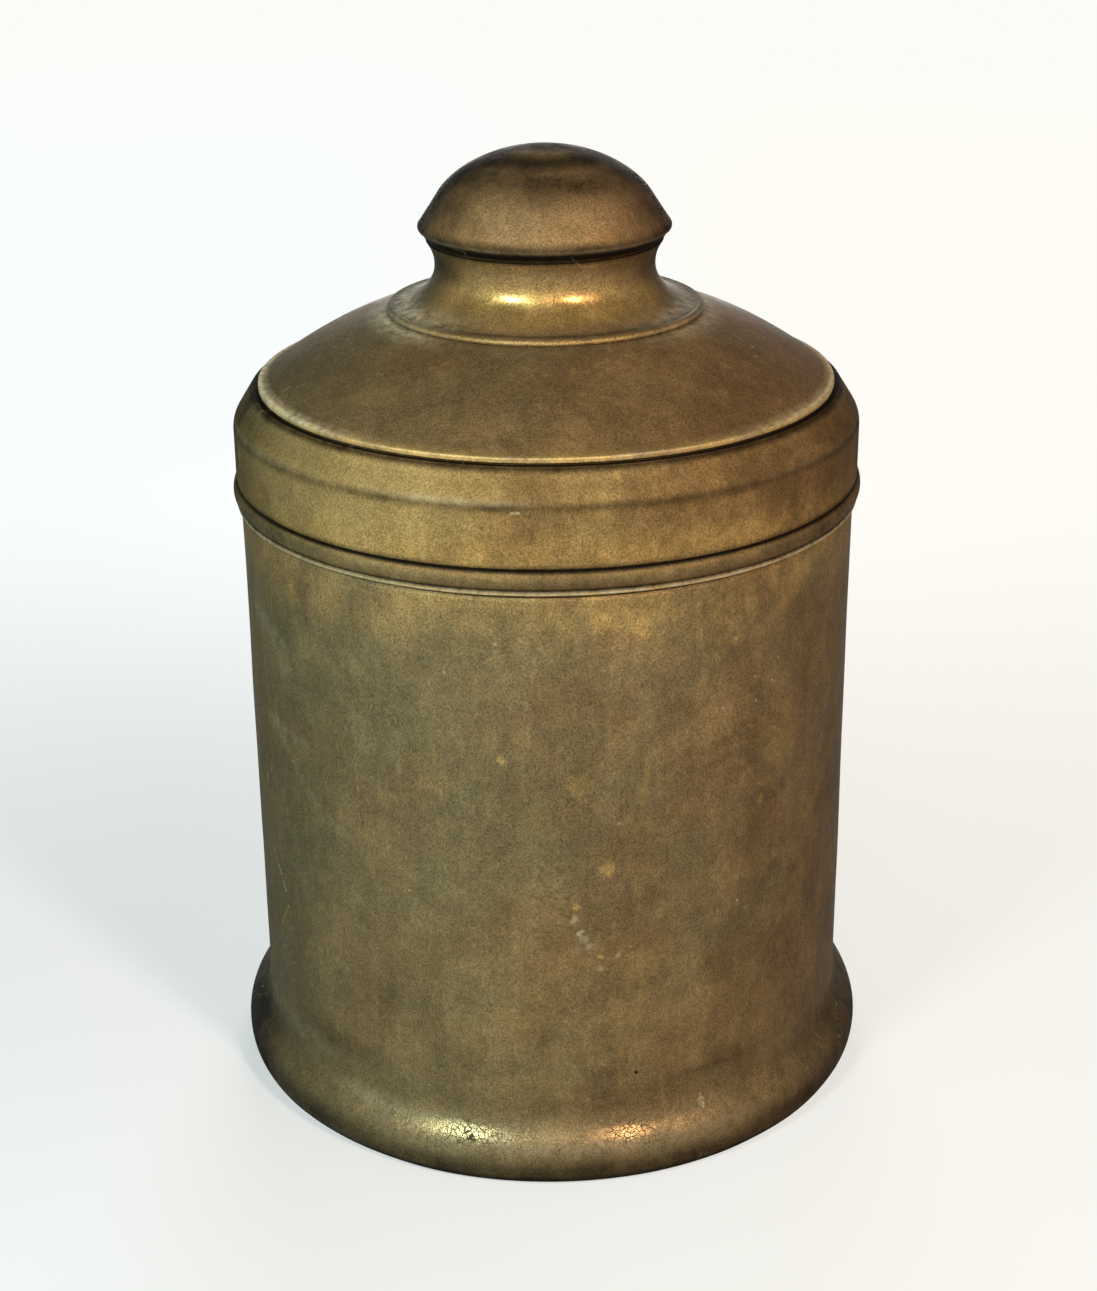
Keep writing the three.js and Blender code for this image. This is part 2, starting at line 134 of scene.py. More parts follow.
# %% Lathe
def turn_on_lathe(name, section, steps):
    bpy.ops.object.select_all(action="DESELECT")
    bpy.ops.mesh.primitive_plane_add(size=MM)
    piece = bpy.context.active_object
    piece.name = piece.data.name = name
    bpy.ops.object.mode_set(mode="EDIT")
    bpy.ops.mesh.select_all(action="SELECT")
    bpy.ops.mesh.merge(type="CENTER")
    here = Vector((section[0][0], 0, section[0][1])) * MM
    bpy.ops.transform.translate(value=here)
    for radius, height in section[1:]:
        there = Vector((radius, 0, height)) * MM
        bpy.ops.mesh.extrude_region_move(TRANSFORM_OT_translate={"value": there - here})
        here = there
    bpy.ops.mesh.select_all(action="SELECT")
    bpy.ops.mesh.spin(steps=steps, angle=2 * math.pi, center=(0, 0, 0), axis=(0, 0, 1))
    bpy.ops.mesh.select_all(action="SELECT")
    bpy.ops.mesh.remove_doubles(threshold=1e-6)
    bpy.ops.mesh.normals_make_consistent(inside=False)
    bpy.ops.object.mode_set(mode="OBJECT")
    return piece


print("lathe ready")

# %% [markdown]
# No edge of old sheet brass is razor sharp. A Bevel modifier limited by angle rounds only the
# real corners of a turned piece, and smooth shading by angle then hides the facets between them.
# The thin wall has also been handled for a century: a Displace modifier with a soft cloud pattern
# pushes it in and out by about a tenth of a millimetre, enough to make its reflections wander.

# %% Modifiers
BEVEL_OVER, SMOOTH_UNDER = math.radians(32), math.radians(40)


def apply_modifier(piece, kind, **settings):
    bpy.ops.object.select_all(action="DESELECT")
    bpy.context.view_layer.objects.active = piece
    piece.select_set(True)
    bpy.ops.object.modifier_add(type=kind)
    modifier = piece.modifiers[-1]
    for key, value in settings.items():
        setattr(modifier, key, value)
    bpy.ops.object.modifier_apply(modifier=modifier.name)


def soften(piece, width):
    apply_modifier(piece, "BEVEL", width=width * MM, segments=2, limit_method="ANGLE",
                   angle_limit=BEVEL_OVER, harden_normals=False)
    bpy.ops.object.shade_smooth_by_angle(angle=SMOOTH_UNDER)


def dent(piece, size, depth):
    clouds = bpy.data.textures.new(piece.name + "_dents", "CLOUDS")
    clouds.noise_scale = size * MM
    clouds.noise_depth = 1
    apply_modifier(piece, "DISPLACE", texture=clouds, texture_coords="LOCAL",
                   strength=depth * MM, mid_level=0.5)


def cut(piece, cutter, operation):
    apply_modifier(piece, "BOOLEAN", operation=operation, object=cutter, solver="EXACT")
    bpy.data.objects.remove(cutter, do_unlink=True)


print("modifiers ready")

# %% [markdown]
# Wear and dirt, and the painted shade, sheen and highlights set down with them, follow the piece's
# own edges, so they are painted on its vertices as soft rings.
# One function takes a plain turned piece through all of its steps.

# %% Finishing tools
def mark(piece, name, rings):
    """A value on each vertex, high near (radius, height, reach, strength) rings.
    A ring may end with an azimuth from the front and a spread, in degrees, to mark one side."""
    co = np.zeros(len(piece.data.vertices) * 3)
    piece.data.vertices.foreach_get("co", co)
    co = co.reshape(-1, 3) / MM
    radius = np.hypot(co[:, 0], co[:, 1])
    azimuth = np.degrees(np.arctan2(co[:, 0], -co[:, 1]))
    value = np.zeros(len(co))
    for r, z, reach, strength, *side in rings:
        away = ((radius - r) ** 2 + (co[:, 2] - z) ** 2) / reach ** 2
        if side:
            away += ((azimuth - side[0]) / side[1]) ** 2
        value = np.maximum(value, strength * np.exp(-away))
    piece.data.attributes.new(name, "FLOAT", "POINT").data.foreach_set("value", value)


def seat(piece, finish, body, slot, *nodes):
    piece.data.materials.append(finish)
    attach(piece, body)
    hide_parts(*nodes)
    print(f"{piece.name}: {len(piece.data.polygons)} faces, replaces {', '.join(nodes)}")


def turn_and_seat(name, section, steps, edge, finish, body, slot, node, dents=None, **masks):
    piece = turn_on_lathe(name, section, steps)
    soften(piece, edge)
    if dents:
        dent(piece, *dents)
    for mask, rings in masks.items():
        mark(piece, mask, rings)
    seat(piece, finish, body, slot, node)


print("finishing tools ready")

# %% [markdown]
# Materials are node trees, and these helpers keep them readable. Each adds its nodes to the tree
# that was opened last. Put makes a node and fills its sockets, and colour turns the 0 to 255 of a
# paint program into the linear values that a shader wants. Times, plus, minus and most each chain
# one kind of Math node.

# %% Node tools
tree = None


def open_tree(new_tree):
    global tree
    tree = new_tree


def link(output, socket):
    tree.links.new(output, socket)


def put(kind, values=None, **settings):
    node = tree.nodes.new(kind)
    for key, value in settings.items():
        setattr(node, key, value)
    for socket, value in (values or {}).items():
        if isinstance(value, bpy.types.NodeSocket):
            link(value, node.inputs[socket])
        else:
            node.inputs[socket].default_value = value
    return node


def colour(red, green, blue):
    shares = [c / 255 for c in (red, green, blue)]
    linear = [c / 12.92 if c <= 0.04045 else ((c + 0.055) / 1.055) ** 2.4 for c in shares]
    return (*linear, 1.0)


def calc(operation, a, b=0.5):
    return put("ShaderNodeMath", {0: a, 1: b}, operation=operation).outputs[0]


def chain(operation):
    def chained(value, *others):
        for other in others:
            value = calc(operation, value, other)
        return value
    return chained


times, plus, minus, most = map(chain, ("MULTIPLY", "ADD", "SUBTRACT", "MAXIMUM"))


def blend(share, a, b, how="MIX"):
    return put("ShaderNodeMix", {0: share, 6: a, 7: b},
               data_type="RGBA", blend_type=how, clamp_factor=True).outputs[2]


def ramp(value, low, high, to_low=0.0, to_high=1.0):
    return put("ShaderNodeMapRange", {"Value": value, "From Min": low, "From Max": high,
               "To Min": to_low, "To Max": to_high}, interpolation_type="SMOOTHSTEP").outputs[0]


def ripple(value, low, high, swing):
    """A brightness factor that swings about 1."""
    return ramp(value, low, high, 1 - swing, 1 + swing)


def lit_by(surface, factor):
    grey = put("ShaderNodeCombineColor", {0: factor, 1: factor, 2: factor}).outputs[0]
    return blend(1.0, surface, grey, "MULTIPLY")


print("node tools ready")

# %% [markdown]
# More helpers deal with places. These are in metres, so a noise of scale 1000 has features about
# a millimetre wide. The last ones open a new group or a new material and join a finished surface
# to its Principled shader.

# %% Pattern and material tools
def noise(place, scale, detail=2.0, roughness=0.5):
    return put("ShaderNodeTexNoise", {"Vector": place, "Scale": scale, "Detail": detail,
               "Roughness": roughness}).outputs["Fac"]


def vector(operation, a, b=(0, 0, 0), output=0):
    return put("ShaderNodeVectorMath", {0: a, 1: b}, operation=operation).outputs[output]


def stretched(place, x, y, z):
    return vector("MULTIPLY", place, (x, y, z))


def axes(place):
    return put("ShaderNodeSeparateXYZ", {0: place}).outputs


def new_group(name, inputs, outputs):
    open_tree(bpy.data.node_groups.new(name, "ShaderNodeTree"))
    for way, sockets in (("INPUT", inputs), ("OUTPUT", outputs)):
        for label, kind in sockets:
            tree.interface.new_socket(name=label, in_out=way, socket_type="NodeSocket" + kind)
    return tree, put("NodeGroupInput").outputs, put("NodeGroupOutput").inputs


def new_material(name):
    material = bpy.data.materials.new(name)
    material.use_nodes = True
    open_tree(material.node_tree)
    place = put("ShaderNodeTexCoord").outputs["Object"]
    return material, tree.nodes["Principled BSDF"], place


def dress(shader, surface, rough, height, strength, depth):
    link(surface, shader.inputs["Base Color"])
    link(rough, shader.inputs["Roughness"])
    bump = put("ShaderNodeBump", {"Strength": strength, "Distance": depth, "Height": height})
    link(bump.outputs[0], shader.inputs["Normal"])


print("material tools ready")

# %% [markdown]
# Old brass is never one colour. Air turns it olive and brown in soft clouds; hands keep some
# places golden; dust and grain break the shine at the scale of a tenth of a millimetre. All of
# the outer pieces share this, so it is one node group with its own colours in each material.
# Film, wear, grime and residue come in as masks, because they follow the piece and its edges. The
# film and the grime darken for tarnish and dirt and also as painted shade, the wear gilds for
# rubbed brass and in places as a painted sheen, and the residue lightens for polish and in places
# as painted highlights.

# %% Weathered brass group
# The film and grime colours are dark for tarnish and dirt and also for painted shade; the chalk
# colour is pale for polish residue and also for painted highlights.
SPECK, STAIN, FILM_AND_SHADE = colour(48, 42, 28), colour(66, 53, 34), colour(30, 29, 22)
GRIME_AND_SHADE, CHALK_AND_HIGHLIGHT = colour(22, 18, 12), colour(205, 196, 162)
MASKS = ("Polish", "Rough", "Bare", "Film and shade", "Stain", "Wear and sheen", "Shine", "Grime and shade", "Residue and highlight")


def weathered_brass_group():
    group, given, result = new_group(
        "weathered_brass",
        [("Place", "Vector"), ("Gold", "Color"), ("Olive", "Color"), ("Brown", "Color"),
         *((name, "Float") for name in MASKS)],
        [("Color", "Color"), ("Roughness", "Float"), ("Metallic", "Float"), ("Height", "Float")])
    place = given["Place"]
    # The clouds lean browner towards plus X: a painted warm cast on the right side.
    warm_cast_lean = ramp(axes(place)[0], -0.045, 0.045, -0.14, 0.14)
    clouds = ramp(plus(noise(place, 38, 5, 0.65), warm_cast_lean), 0.28, 0.72)
    patches = noise(place, 120, 8, 0.7)
    grain = noise(stretched(place, 1, 1, 0.85), 3500, 2, 0.6)
    specks = ramp(noise(place, 1100, 1), 0.69, 0.77)
    pecked = noise(place, 560, 6, 0.72)
    flakes = noise(stretched(place, 1, 1, 0.5), 85, 9, 0.66)
    drawn = noise(stretched(place, 1, 1, 0.1), 720, 3, 0.6)
    strokes = noise(stretched(place, 1, 1, 0.14), 560, 4, 0.65)
    stains = noise(place, 66, 8, 0.74)

    tarnish = blend(clouds, given["Olive"], given["Brown"])
    lacquer = plus(ramp(patches, 0.5, 0.55, 0.0, 0.5), ramp(patches, 0.46, 0.72, 0.0, 0.5))
    # Worn places turn golden: rubbed brass, and on the skirt a painted reflection.
    worn_and_sheen = times(given["Wear and sheen"], ramp(patches, 0.36, 0.58, 0.35, 1.0))
    golden = most(times(lacquer, given["Polish"]), worn_and_sheen)
    metal = lit_by(blend(golden, tarnish, given["Gold"]), times(
        ripple(grain, 0.28, 0.72, 0.35), ripple(drawn, 0.3, 0.7, 0.05),
        ripple(patches, 0.32, 0.68, 0.12), ripple(pecked, 0.3, 0.7, 0.09),
        ripple(flakes, 0.47, 0.53, 0.07)))
    metal = blend(times(specks, 0.2), metal, SPECK)
    brushed = times(ramp(strokes, 0.57, 0.66), ramp(noise(place, 52, 3), 0.48, 0.62, 0.0, 0.15))
    metal = blend(brushed, metal, given["Gold"])
    metal = blend(times(ramp(stains, 0.485, 0.6), given["Stain"]), metal, STAIN)
    # The dark film is partly tarnish and partly painted shade towards the sides and the foot.
    film_and_shade_mask = times(given["Film and shade"], ramp(patches, 0.3, 0.7, 0.8, 1.1))
    metal = blend(film_and_shade_mask, metal, FILM_AND_SHADE)
    # Grime darkens for dirt, crazing and pits, and also as painted shade in gaps, creases, under
    # parts, at the sides and at the foot.
    grime = calc("MINIMUM", given["Grime and shade"], 1.0)
    edge = times(grime, minus(6.0, times(grime, 6.0)))
    grime = plus(grime, times(edge, minus(patches, 0.5)))
    metal = blend(grime, metal, GRIME_AND_SHADE)
    # The chalk is polish residue and scuffs, and in places painted highlights and painted light.
    chalk_and_highlight = times(given["Residue and highlight"], ramp(noise(place, 640, 5, 0.75), 0.25, 0.72))
    link(blend(chalk_and_highlight, metal, CHALK_AND_HIGHLIGHT), result["Color"])

    dull = most(grime, chalk_and_highlight, times(film_and_shade_mask, 0.85))
    rough = plus(given["Rough"], ramp(patches, 0.3, 0.7, -0.05, 0.07))
    rough = minus(rough, times(given["Wear and sheen"], 0.1), times(given["Shine"], 0.3))
    link(plus(rough, times(dull, 0.3)), result["Roughness"])
    bare = plus(times(most(golden, given["Shine"]), 0.35), given["Bare"])
    link(times(bare, ramp(dull, 0.0, 1.0, 1.0, 0.05)), result["Metallic"])
    relief = plus(times(grain, 0.4), times(pecked, 1.3))
    relief = times(relief, ramp(given["Wear and sheen"], 0.3, 0.8, 1.0, 0.3),
                   ramp(given["Shine"], 0.0, 0.7, 1.0, 0.4))
    link(relief, result["Height"])
    return group


weathered = weathered_brass_group()
print("group:", weathered.name)

# %% [markdown]
# Fine scuffs are thin wandering lines: the contour of a soft noise, kept only in a few places and
# broken up by a finer noise. The group puts out one mask, and any metal here can use it.

# %% Scuffs group
def scuffs_group():
    group, given, result = new_group("scuffs", [("Place", "Vector")], [("Mask", "Float")])
    place = given["Place"]
    contour = calc("ABSOLUTE", minus(noise(place, 70, 3, 0.6), 0.5))
    line = ramp(contour, 0.001, 0.007, 1.0, 0.0)
    few = ramp(noise(place, 45, 2), 0.5, 0.64)
    broken = ramp(noise(place, 520, 2), 0.4, 0.6)
    link(times(line, few, broken), result["Mask"])
    return group


scuffs = scuffs_group()
print("group:", scuffs.name)

# %% [markdown]
# Where the brass still shines, its old lacquer has crazed: dark hairlines close a net of cells
# about a millimetre wide. A Voronoi texture that measures the distance to the cell's edge gives
# the net, and a noise bends it.

# %% Crazing group
CELL_SCALE, BEND_SCALE, BEND_BY = 1050.0, 700.0, 0.0009


def crazing_group():
    group, given, result = new_group("crazing", [("Place", "Vector")], [("Mask", "Float")])
    place = given["Place"]
    shift = put("ShaderNodeTexNoise", {"Vector": place, "Scale": BEND_SCALE, "Detail": 2.0})
    shift = put("ShaderNodeVectorMath", {0: shift.outputs["Color"], "Scale": BEND_BY},
                operation="SCALE").outputs[0]
    bent = vector("ADD", place, shift)
    cells = put("ShaderNodeTexVoronoi", {"Vector": bent, "Scale": CELL_SCALE},
                feature="DISTANCE_TO_EDGE")
    hairline = ramp(cells.outputs["Distance"], 0.01, 0.11, 1.0, 0.0)
    some = ramp(noise(place, 160, 2), 0.28, 0.5)
    link(times(hairline, some), result["Mask"])
    return group


crazing = crazing_group()
print("group:", crazing.name)

# %% [markdown]
# Masks reach a material in three ways: from the values painted on the vertices, from a group, or
# as spots, which are soft round blots at places of their own. The front of the jar is the side of
# minus Y, and an azimuth on the wall is counted from there towards plus X.

# %% Mask tools
WALL = 52.8


def piece_mask(name):
    return put("ShaderNodeAttribute", attribute_name=name, attribute_type="GEOMETRY").outputs["Fac"]


def group_mask(group, place):
    return put("ShaderNodeGroup", {"Place": place}, node_tree=group).outputs["Mask"]


def frontness(place):
    outward = vector("NORMALIZE", stretched(place, 1, 1, 0))
    return times(axes(outward)[1], -1.0)


def on_wall(azimuth, height):
    turn = math.radians(azimuth)
    return (WALL * math.sin(turn), -WALL * math.cos(turn), height)


def smear(stops, size, steps):
    """Blots in a row from one (azimuth, height) stop on the wall to the next."""
    row = []
    for (a, z), (b, y) in zip(stops, stops[1:]):
        row += [(*on_wall(a + (b - a) * i / steps, z + (y - z) * i / steps), size)
                for i in range(steps)]
    return row


def spots(place, marks):
    """A mask of soft round blots at (x, y, z, size) in millimetres, with ragged edges."""
    ragged = ramp(noise(place, 600, 3, 0.7), 0.2, 0.8, 0.55, 1.5)
    mask = 0.0
    for x, y, z, size in marks:
        away = times(vector("DISTANCE", place, (x * MM, y * MM, z * MM), "Value"), ragged)
        mask = most(mask, ramp(away, size * 0.3 * MM, size * MM, 1.0, 0.0))
    return mask


print("mask tools ready")

# %% [markdown]
# Each outer material places the groups, feeds them the piece's own masks and ends in one Principled
# shader. A dark film, partly tarnish and partly painted shade, grows towards the sides and thins
# again behind; it is thickest at the foot and heavier on the left side. Residue from old metal
# polish also lies at the sides, where a cloth did not reach.

# %% Outer brass
GOLD = colour(188, 156, 92)
FOOT_LOW, FOOT_HIGH, FOOT_FILM_AND_SHADE, FOOT_BEHIND = 0.003, 0.02, 0.75, 0.6
GILT_SHARE, CHALK_SHARE, SMEAR_SHARE = 0.6, 0.62, 0.14
DULL_SPECULAR, SPECULAR_TINT = 0.06, (0.12, 0.105, 0.085, 1)


def outer_brass(name, olive, brown, polish, rough, bare, film_and_shade, stain=0.2, crazed=0.0,
                gilt=(), chalky=(), smears=(), pits=(), behind=0.25):
    material, shader, place = new_material(name)
    front = frontness(place)
    sideways, _, height = axes(place)
    shine = piece_mask("shine")
    kept = ramp(height, FOOT_LOW, FOOT_HIGH, FOOT_BEHIND, behind)
    # Painted shade with some tarnish: darker towards the sides, at the foot and on the left side.
    dark = times(ramp(front, 0.1, 0.9, 1.0, 0.0), ramp(front, -0.7, 0.2, kept, 1.0),
                 ramp(height, FOOT_LOW, FOOT_HIGH, film_and_shade + FOOT_FILM_AND_SHADE, film_and_shade),
                 ramp(sideways, -0.02, 0.045, 1.05, 0.78))
    # The stains grow stronger towards plus X: real stains with a painted warm cast on the right
    # side.
    stain_and_warm_cast = ramp(sideways, -0.02, 0.035, stain * 0.35, stain)
    wear = most(piece_mask("wear"), times(spots(place, gilt), GILT_SHARE))
    scuffed = times(group_mask(scuffs, place), ramp(front, 0.2, 0.8, 0.3, 0.22))
    pale = most(scuffed, times(spots(place, chalky), CHALK_SHARE),
                times(spots(place, smears), SMEAR_SHARE), piece_mask("pale"))
    residue = times(piece_mask("residue"), ramp(front, 0.5, 0.93, 1.0, 0.05),
                    ramp(front, -0.6, 0.2, 0.5, 1.0), ramp(sideways, -0.01, 0.025, 1.0, 0.6))
    net = times(group_mask(crazing, place), crazed, shine)
    grime = most(piece_mask("grime"), net, spots(place, pits))
    brass = put("ShaderNodeGroup", {
        "Place": place, "Gold": GOLD, "Olive": olive, "Brown": brown, "Polish": polish,
        "Rough": rough, "Bare": bare, "Film and shade": dark, "Stain": stain_and_warm_cast, "Wear and sheen": wear, "Shine": shine,
        "Grime and shade": grime, "Residue and highlight": most(residue, pale)}, node_tree=weathered).outputs
    dress(shader, brass["Color"], brass["Roughness"], brass["Height"], 0.6, 0.3 * MM)
    link(brass["Metallic"], shader.inputs["Metallic"])
    shader.inputs["Specular IOR Level"].default_value = DULL_SPECULAR
    shader.inputs["Specular Tint"].default_value = SPECULAR_TINT
    return material


print("outer brass ready")

# %% [markdown]
# Some marks have a place of their own: gilt spots where the tarnish has gone, chalky specks and a
# chip, pale smears on the left, a small pit in the hollow and a dash on the lid. Each is a blot,
# or a row of blots.

# %% Single marks
WALL_GILT = [(4.9, -52.6, 73.4, 3.0), (9.0, -52.0, 58.4, 2.2), (4.0, -52.6, 51.6, 1.3),
             (8.1, -52.2, 41.9, 0.8), (-7.7, -52.2, 77.7, 1.2)]
WALL_GILT += [(*on_wall(a, z), size) for a, z, size in (
    (41, 64.2, 1.2), (-52, 98.4, 3.4), (9, 101.0, 3.2), (16, 99.9, 3.4), (22, 101.0, 2.2),
    (34, 94.3, 1.0))]
FOOT_CHIP = [(25.2, -47.0, 11.9, 0.5), (25.4, -47.3, 11.2, 0.75), (25.5, -47.7, 10.5, 0.75),
             (25.7, -48.0, 9.8, 0.5)]
WALL_CHALK = [(-8.2, -52.2, 97.5, 0.4), (3.9, -52.7, 49.4, 0.9), (3.7, -52.7, 48.7, 0.6),
              (4.6, -52.6, 46.4, 0.8), (5.2, -52.5, 46.9, 0.6), (5.3, -52.5, 45.3, 1.3),
              (6.1, -52.4, 44.1, 1.3), (11.0, -51.6, 41.8, 0.75), (8.0, -52.2, 39.8, 0.7),
              (13.0, -51.2, 43.2, 0.45), (-9.3, -52.0, 71.4, 0.4)]
WALL_CHALK += [(*on_wall(a, z), 0.35) for a, z in (
    (44.6, 88.8), (38.8, 87.0), (43.1, 85.1), (39.2, 82.6), (24.6, 80.5), (26.8, 79.0),
    (31.7, 83.1), (-18, 92), (12, 66), (-26, 52), (36, 47))]
WALL_CHALK += smear([(-67.1, 46.4), (-63.6, 43.2), (-61.1, 39.5)], 0.45, 6)
WALL_CHALK += smear([(-64.2, 32.7), (-59.9, 38.1)], 0.4, 6)
WALL_SMEARS = [(20.8, -51.4, 8.7, 2.2), (5.8, -52.5, 44.6, 3.2)]
WALL_SMEARS += smear([(-67.5, 90.7), (-56.3, 87.9), (-56.1, 83.4)], 2.6, 4)
WALL_SMEARS += smear(
    [(-63.4, 72.8), (-57.7, 70.6), (-52.0, 65.2), (-46.0, 60.5), (-36.8, 58.1)], 1.7, 4)
WALL_SMEARS += smear([(-63.4, 72.8), (-47.9, 71.9)], 2.0, 5)
WALL_SMEARS += smear([(30.5, 83.0), (35, 82.6)], 0.9, 3)
WALL_PITS = [(14.0, -50.9, 18.8, 0.48)]
LID_DASH = [(-5.5 + 0.3 * i, -53.15, 119.2, 0.34) for i in range(5)]
print("marks:", len(WALL_GILT + FOOT_CHIP + WALL_CHALK + WALL_SMEARS + WALL_PITS + LID_DASH))

# %% [markdown]
# Five finishes use that one recipe. The skirt and the knob are the most golden, the dome is the
# brownest and the wall the greenest.

# %% Outer finishes
wall_brass = outer_brass(
    "wall_brass", colour(119, 110, 79), colour(119, 99, 69), polish=0.08, rough=0.5, bare=0.3,
    film_and_shade=0.52, stain=0.34, crazed=0.95, gilt=WALL_GILT, chalky=FOOT_CHIP + WALL_CHALK,
    smears=WALL_SMEARS, pits=WALL_PITS)
skirt_brass = outer_brass(
    "skirt_brass", colour(158, 137, 88), colour(121, 96, 61), polish=0.16, rough=0.6, bare=0.25,
    film_and_shade=0.85, stain=0.32, chalky=LID_DASH)
dome_brass = outer_brass(
    "dome_brass", colour(105, 90, 61), colour(114, 90, 59), polish=0.05, rough=0.55, bare=0.3,
    film_and_shade=0.24, stain=0.1)
knob_brass = outer_brass(
    "knob_brass", colour(148, 126, 84), colour(132, 107, 70), polish=0.35, rough=0.45, bare=0.45,
    film_and_shade=0.95, crazed=0.25)
cap_brass = outer_brass(
    "cap_brass", colour(151, 128, 90), colour(144, 115, 77), polish=0.08, rough=0.48, bare=0.3,
    film_and_shade=0.95, stain=0.25, behind=0.7)
print("outer finishes ready")

# %% [markdown]
# The jar is one sheet of brass spun over a former: a straight wall, a hollow that sweeps out into
# a fat rolled foot, and a hem turned in underneath. At the top the wall steps in so that the lid
# can slip over it. Two tangent arcs give the ogee of the foot.

# %% Jar wall
WALL_SHEET = 1.0
FOOT, WIDEST_AT, TREAD, HEM = 57.1, 4.2, 54.8, 3.0
FOOT_ROUND, FOOT_HOLLOW = 6.8, 8.7
JAR_SHOULDER, NECK, RIM = 105.4, 52.2, 117.1

across = WALL + FOOT_HOLLOW - (FOOT - FOOT_ROUND)
climb = math.sqrt((FOOT_ROUND + FOOT_HOLLOW) ** 2 - across ** 2)
turn = math.degrees(math.atan2(climb, across))
wall_outer = joined(
    straight((TREAD - HEM, 0.0), (TREAD - 0.6, 0.0), 2),
    arc((TREAD, WIDEST_AT), FOOT - TREAD, -88, 0, 12, WIDEST_AT),
    arc((FOOT - FOOT_ROUND, WIDEST_AT), FOOT_ROUND, 0, turn, 12),
    arc((WALL + FOOT_HOLLOW, WIDEST_AT + climb), FOOT_HOLLOW, 180 + turn, 180, 12),
    straight((WALL, WIDEST_AT + climb), (WALL, JAR_SHOULDER - 0.7), 60),
    [(NECK, JAR_SHOULDER), (NECK, JAR_SHOULDER + 4), (NECK, RIM - 4), (NECK, RIM)],
)
wall_section = ring(wall_outer, inner_face(wall_outer, WALL_SHEET))
turn_and_seat(
    "jar_wall_spun", wall_section, 192, 0.15, wall_brass, "jar", "aged_brass", "jar_wall",
    dents=(26, 0.32),
    # The foot is painted darker towards its bottom and at its sides, painted shade where it turns
    # under and away from the lamps. The pale mark on the front of the foot is partly a painted
    # highlight.
    wear=[(WALL, 102.5, 6.0, 0.33), (WALL, 28, 24, 0.16, 4, 40), (55.6, 8.6, 1.6, 0.2)],
    shine=[(55.4, 8.8, 2.8, 1.0, -15.5, 11), (55.4, 8.8, 2.6, 0.9, 13, 8), (55.4, 8.8, 2.6, 0.45)],
    pale=[(55.8, 7.8, 3.0, 0.22, 0, 38), (54.6, 9.8, 1.8, 0.24, -35, 9)],
    grime=[(FOOT, 2.8, 2.6, 0.58), (53.3, 12.8, 2.0, 0.2), (55.2, 0.2, 3.2, 1.1),
           (56.2, 6.5, 4, 0.24, -52, 18), (56.2, 6.5, 4, 0.26, 52, 18),
           (WALL, 16.2, 1.4, 0.4, 32, 12), (WALL, 16.8, 2.4, 0.36, -42, 9),
           (52.9, 15.0, 1.6, 0.2, 18, 10), (57, 3.6, 3.2, 0.68, -48, 22),
           (57, 3.6, 3.2, 0.64, 48, 22)],
    residue=[(53.0, 14.0, 2.0, 0.2)])

# %% [markdown]
# The lid's rim is a ring of sheet: its raw lower lip, a swaged bead that stiffens it, a straight
# skirt, a sloping shoulder and a ledge turned in to carry the dome. Two fine grooves beside the
# bead show as black lines, so they are real steps in the section, and they are painted nearly black
# as well.

# %% Lid rim
SKIRT, LID_SHEET, LIP, BEAD = 53.4, 0.9, 105.7, 108.15
BEND, LEDGE, SHOULDER_TOP, LEDGE_END, RIM_BORE = 119.9, 125.3, 50.0, 46.4, 52.5

slope = Vector((SHOULDER_TOP - SKIRT, LEDGE - BEND)).normalized() * 1.1
shoulder_start = (SKIRT + slope.x, BEND + slope.y)
rim_outer = joined(
    [(53.0, LIP), (53.42, LIP + 0.05), (53.55, LIP + 0.42), (53.42, LIP + 0.82)],
    arc((53.24, BEAD), 0.76, -72, 72, 14, 1.38),
    [(53.12, BEAD + 1.55), (53.15, BEAD + 1.8), (SKIRT, BEAD + 2.0)],
    straight((SKIRT, BEAD + 2.2), (SKIRT, BEND - 1.1), 14),
    sweep((SKIRT, BEND - 1.1), (0, 0.7), tuple(slope * 0.6), shoulder_start, 6),
    straight(shoulder_start, (SHOULDER_TOP + 0.15, LEDGE - 0.25), 16),
    straight((SHOULDER_TOP - 0.15, LEDGE), (SHOULDER_TOP - 1.4, LEDGE), 4),
    [(LEDGE_END, LEDGE)],
)
rim_inner = [(RIM_BORE, LIP), (RIM_BORE, LIP + 1.3), (52.75, BEAD), (RIM_BORE, BEAD + 1.3),
             (RIM_BORE, BEND - 0.4), (49.45, LEDGE - LID_SHEET), (LEDGE_END, LEDGE - LID_SHEET)]
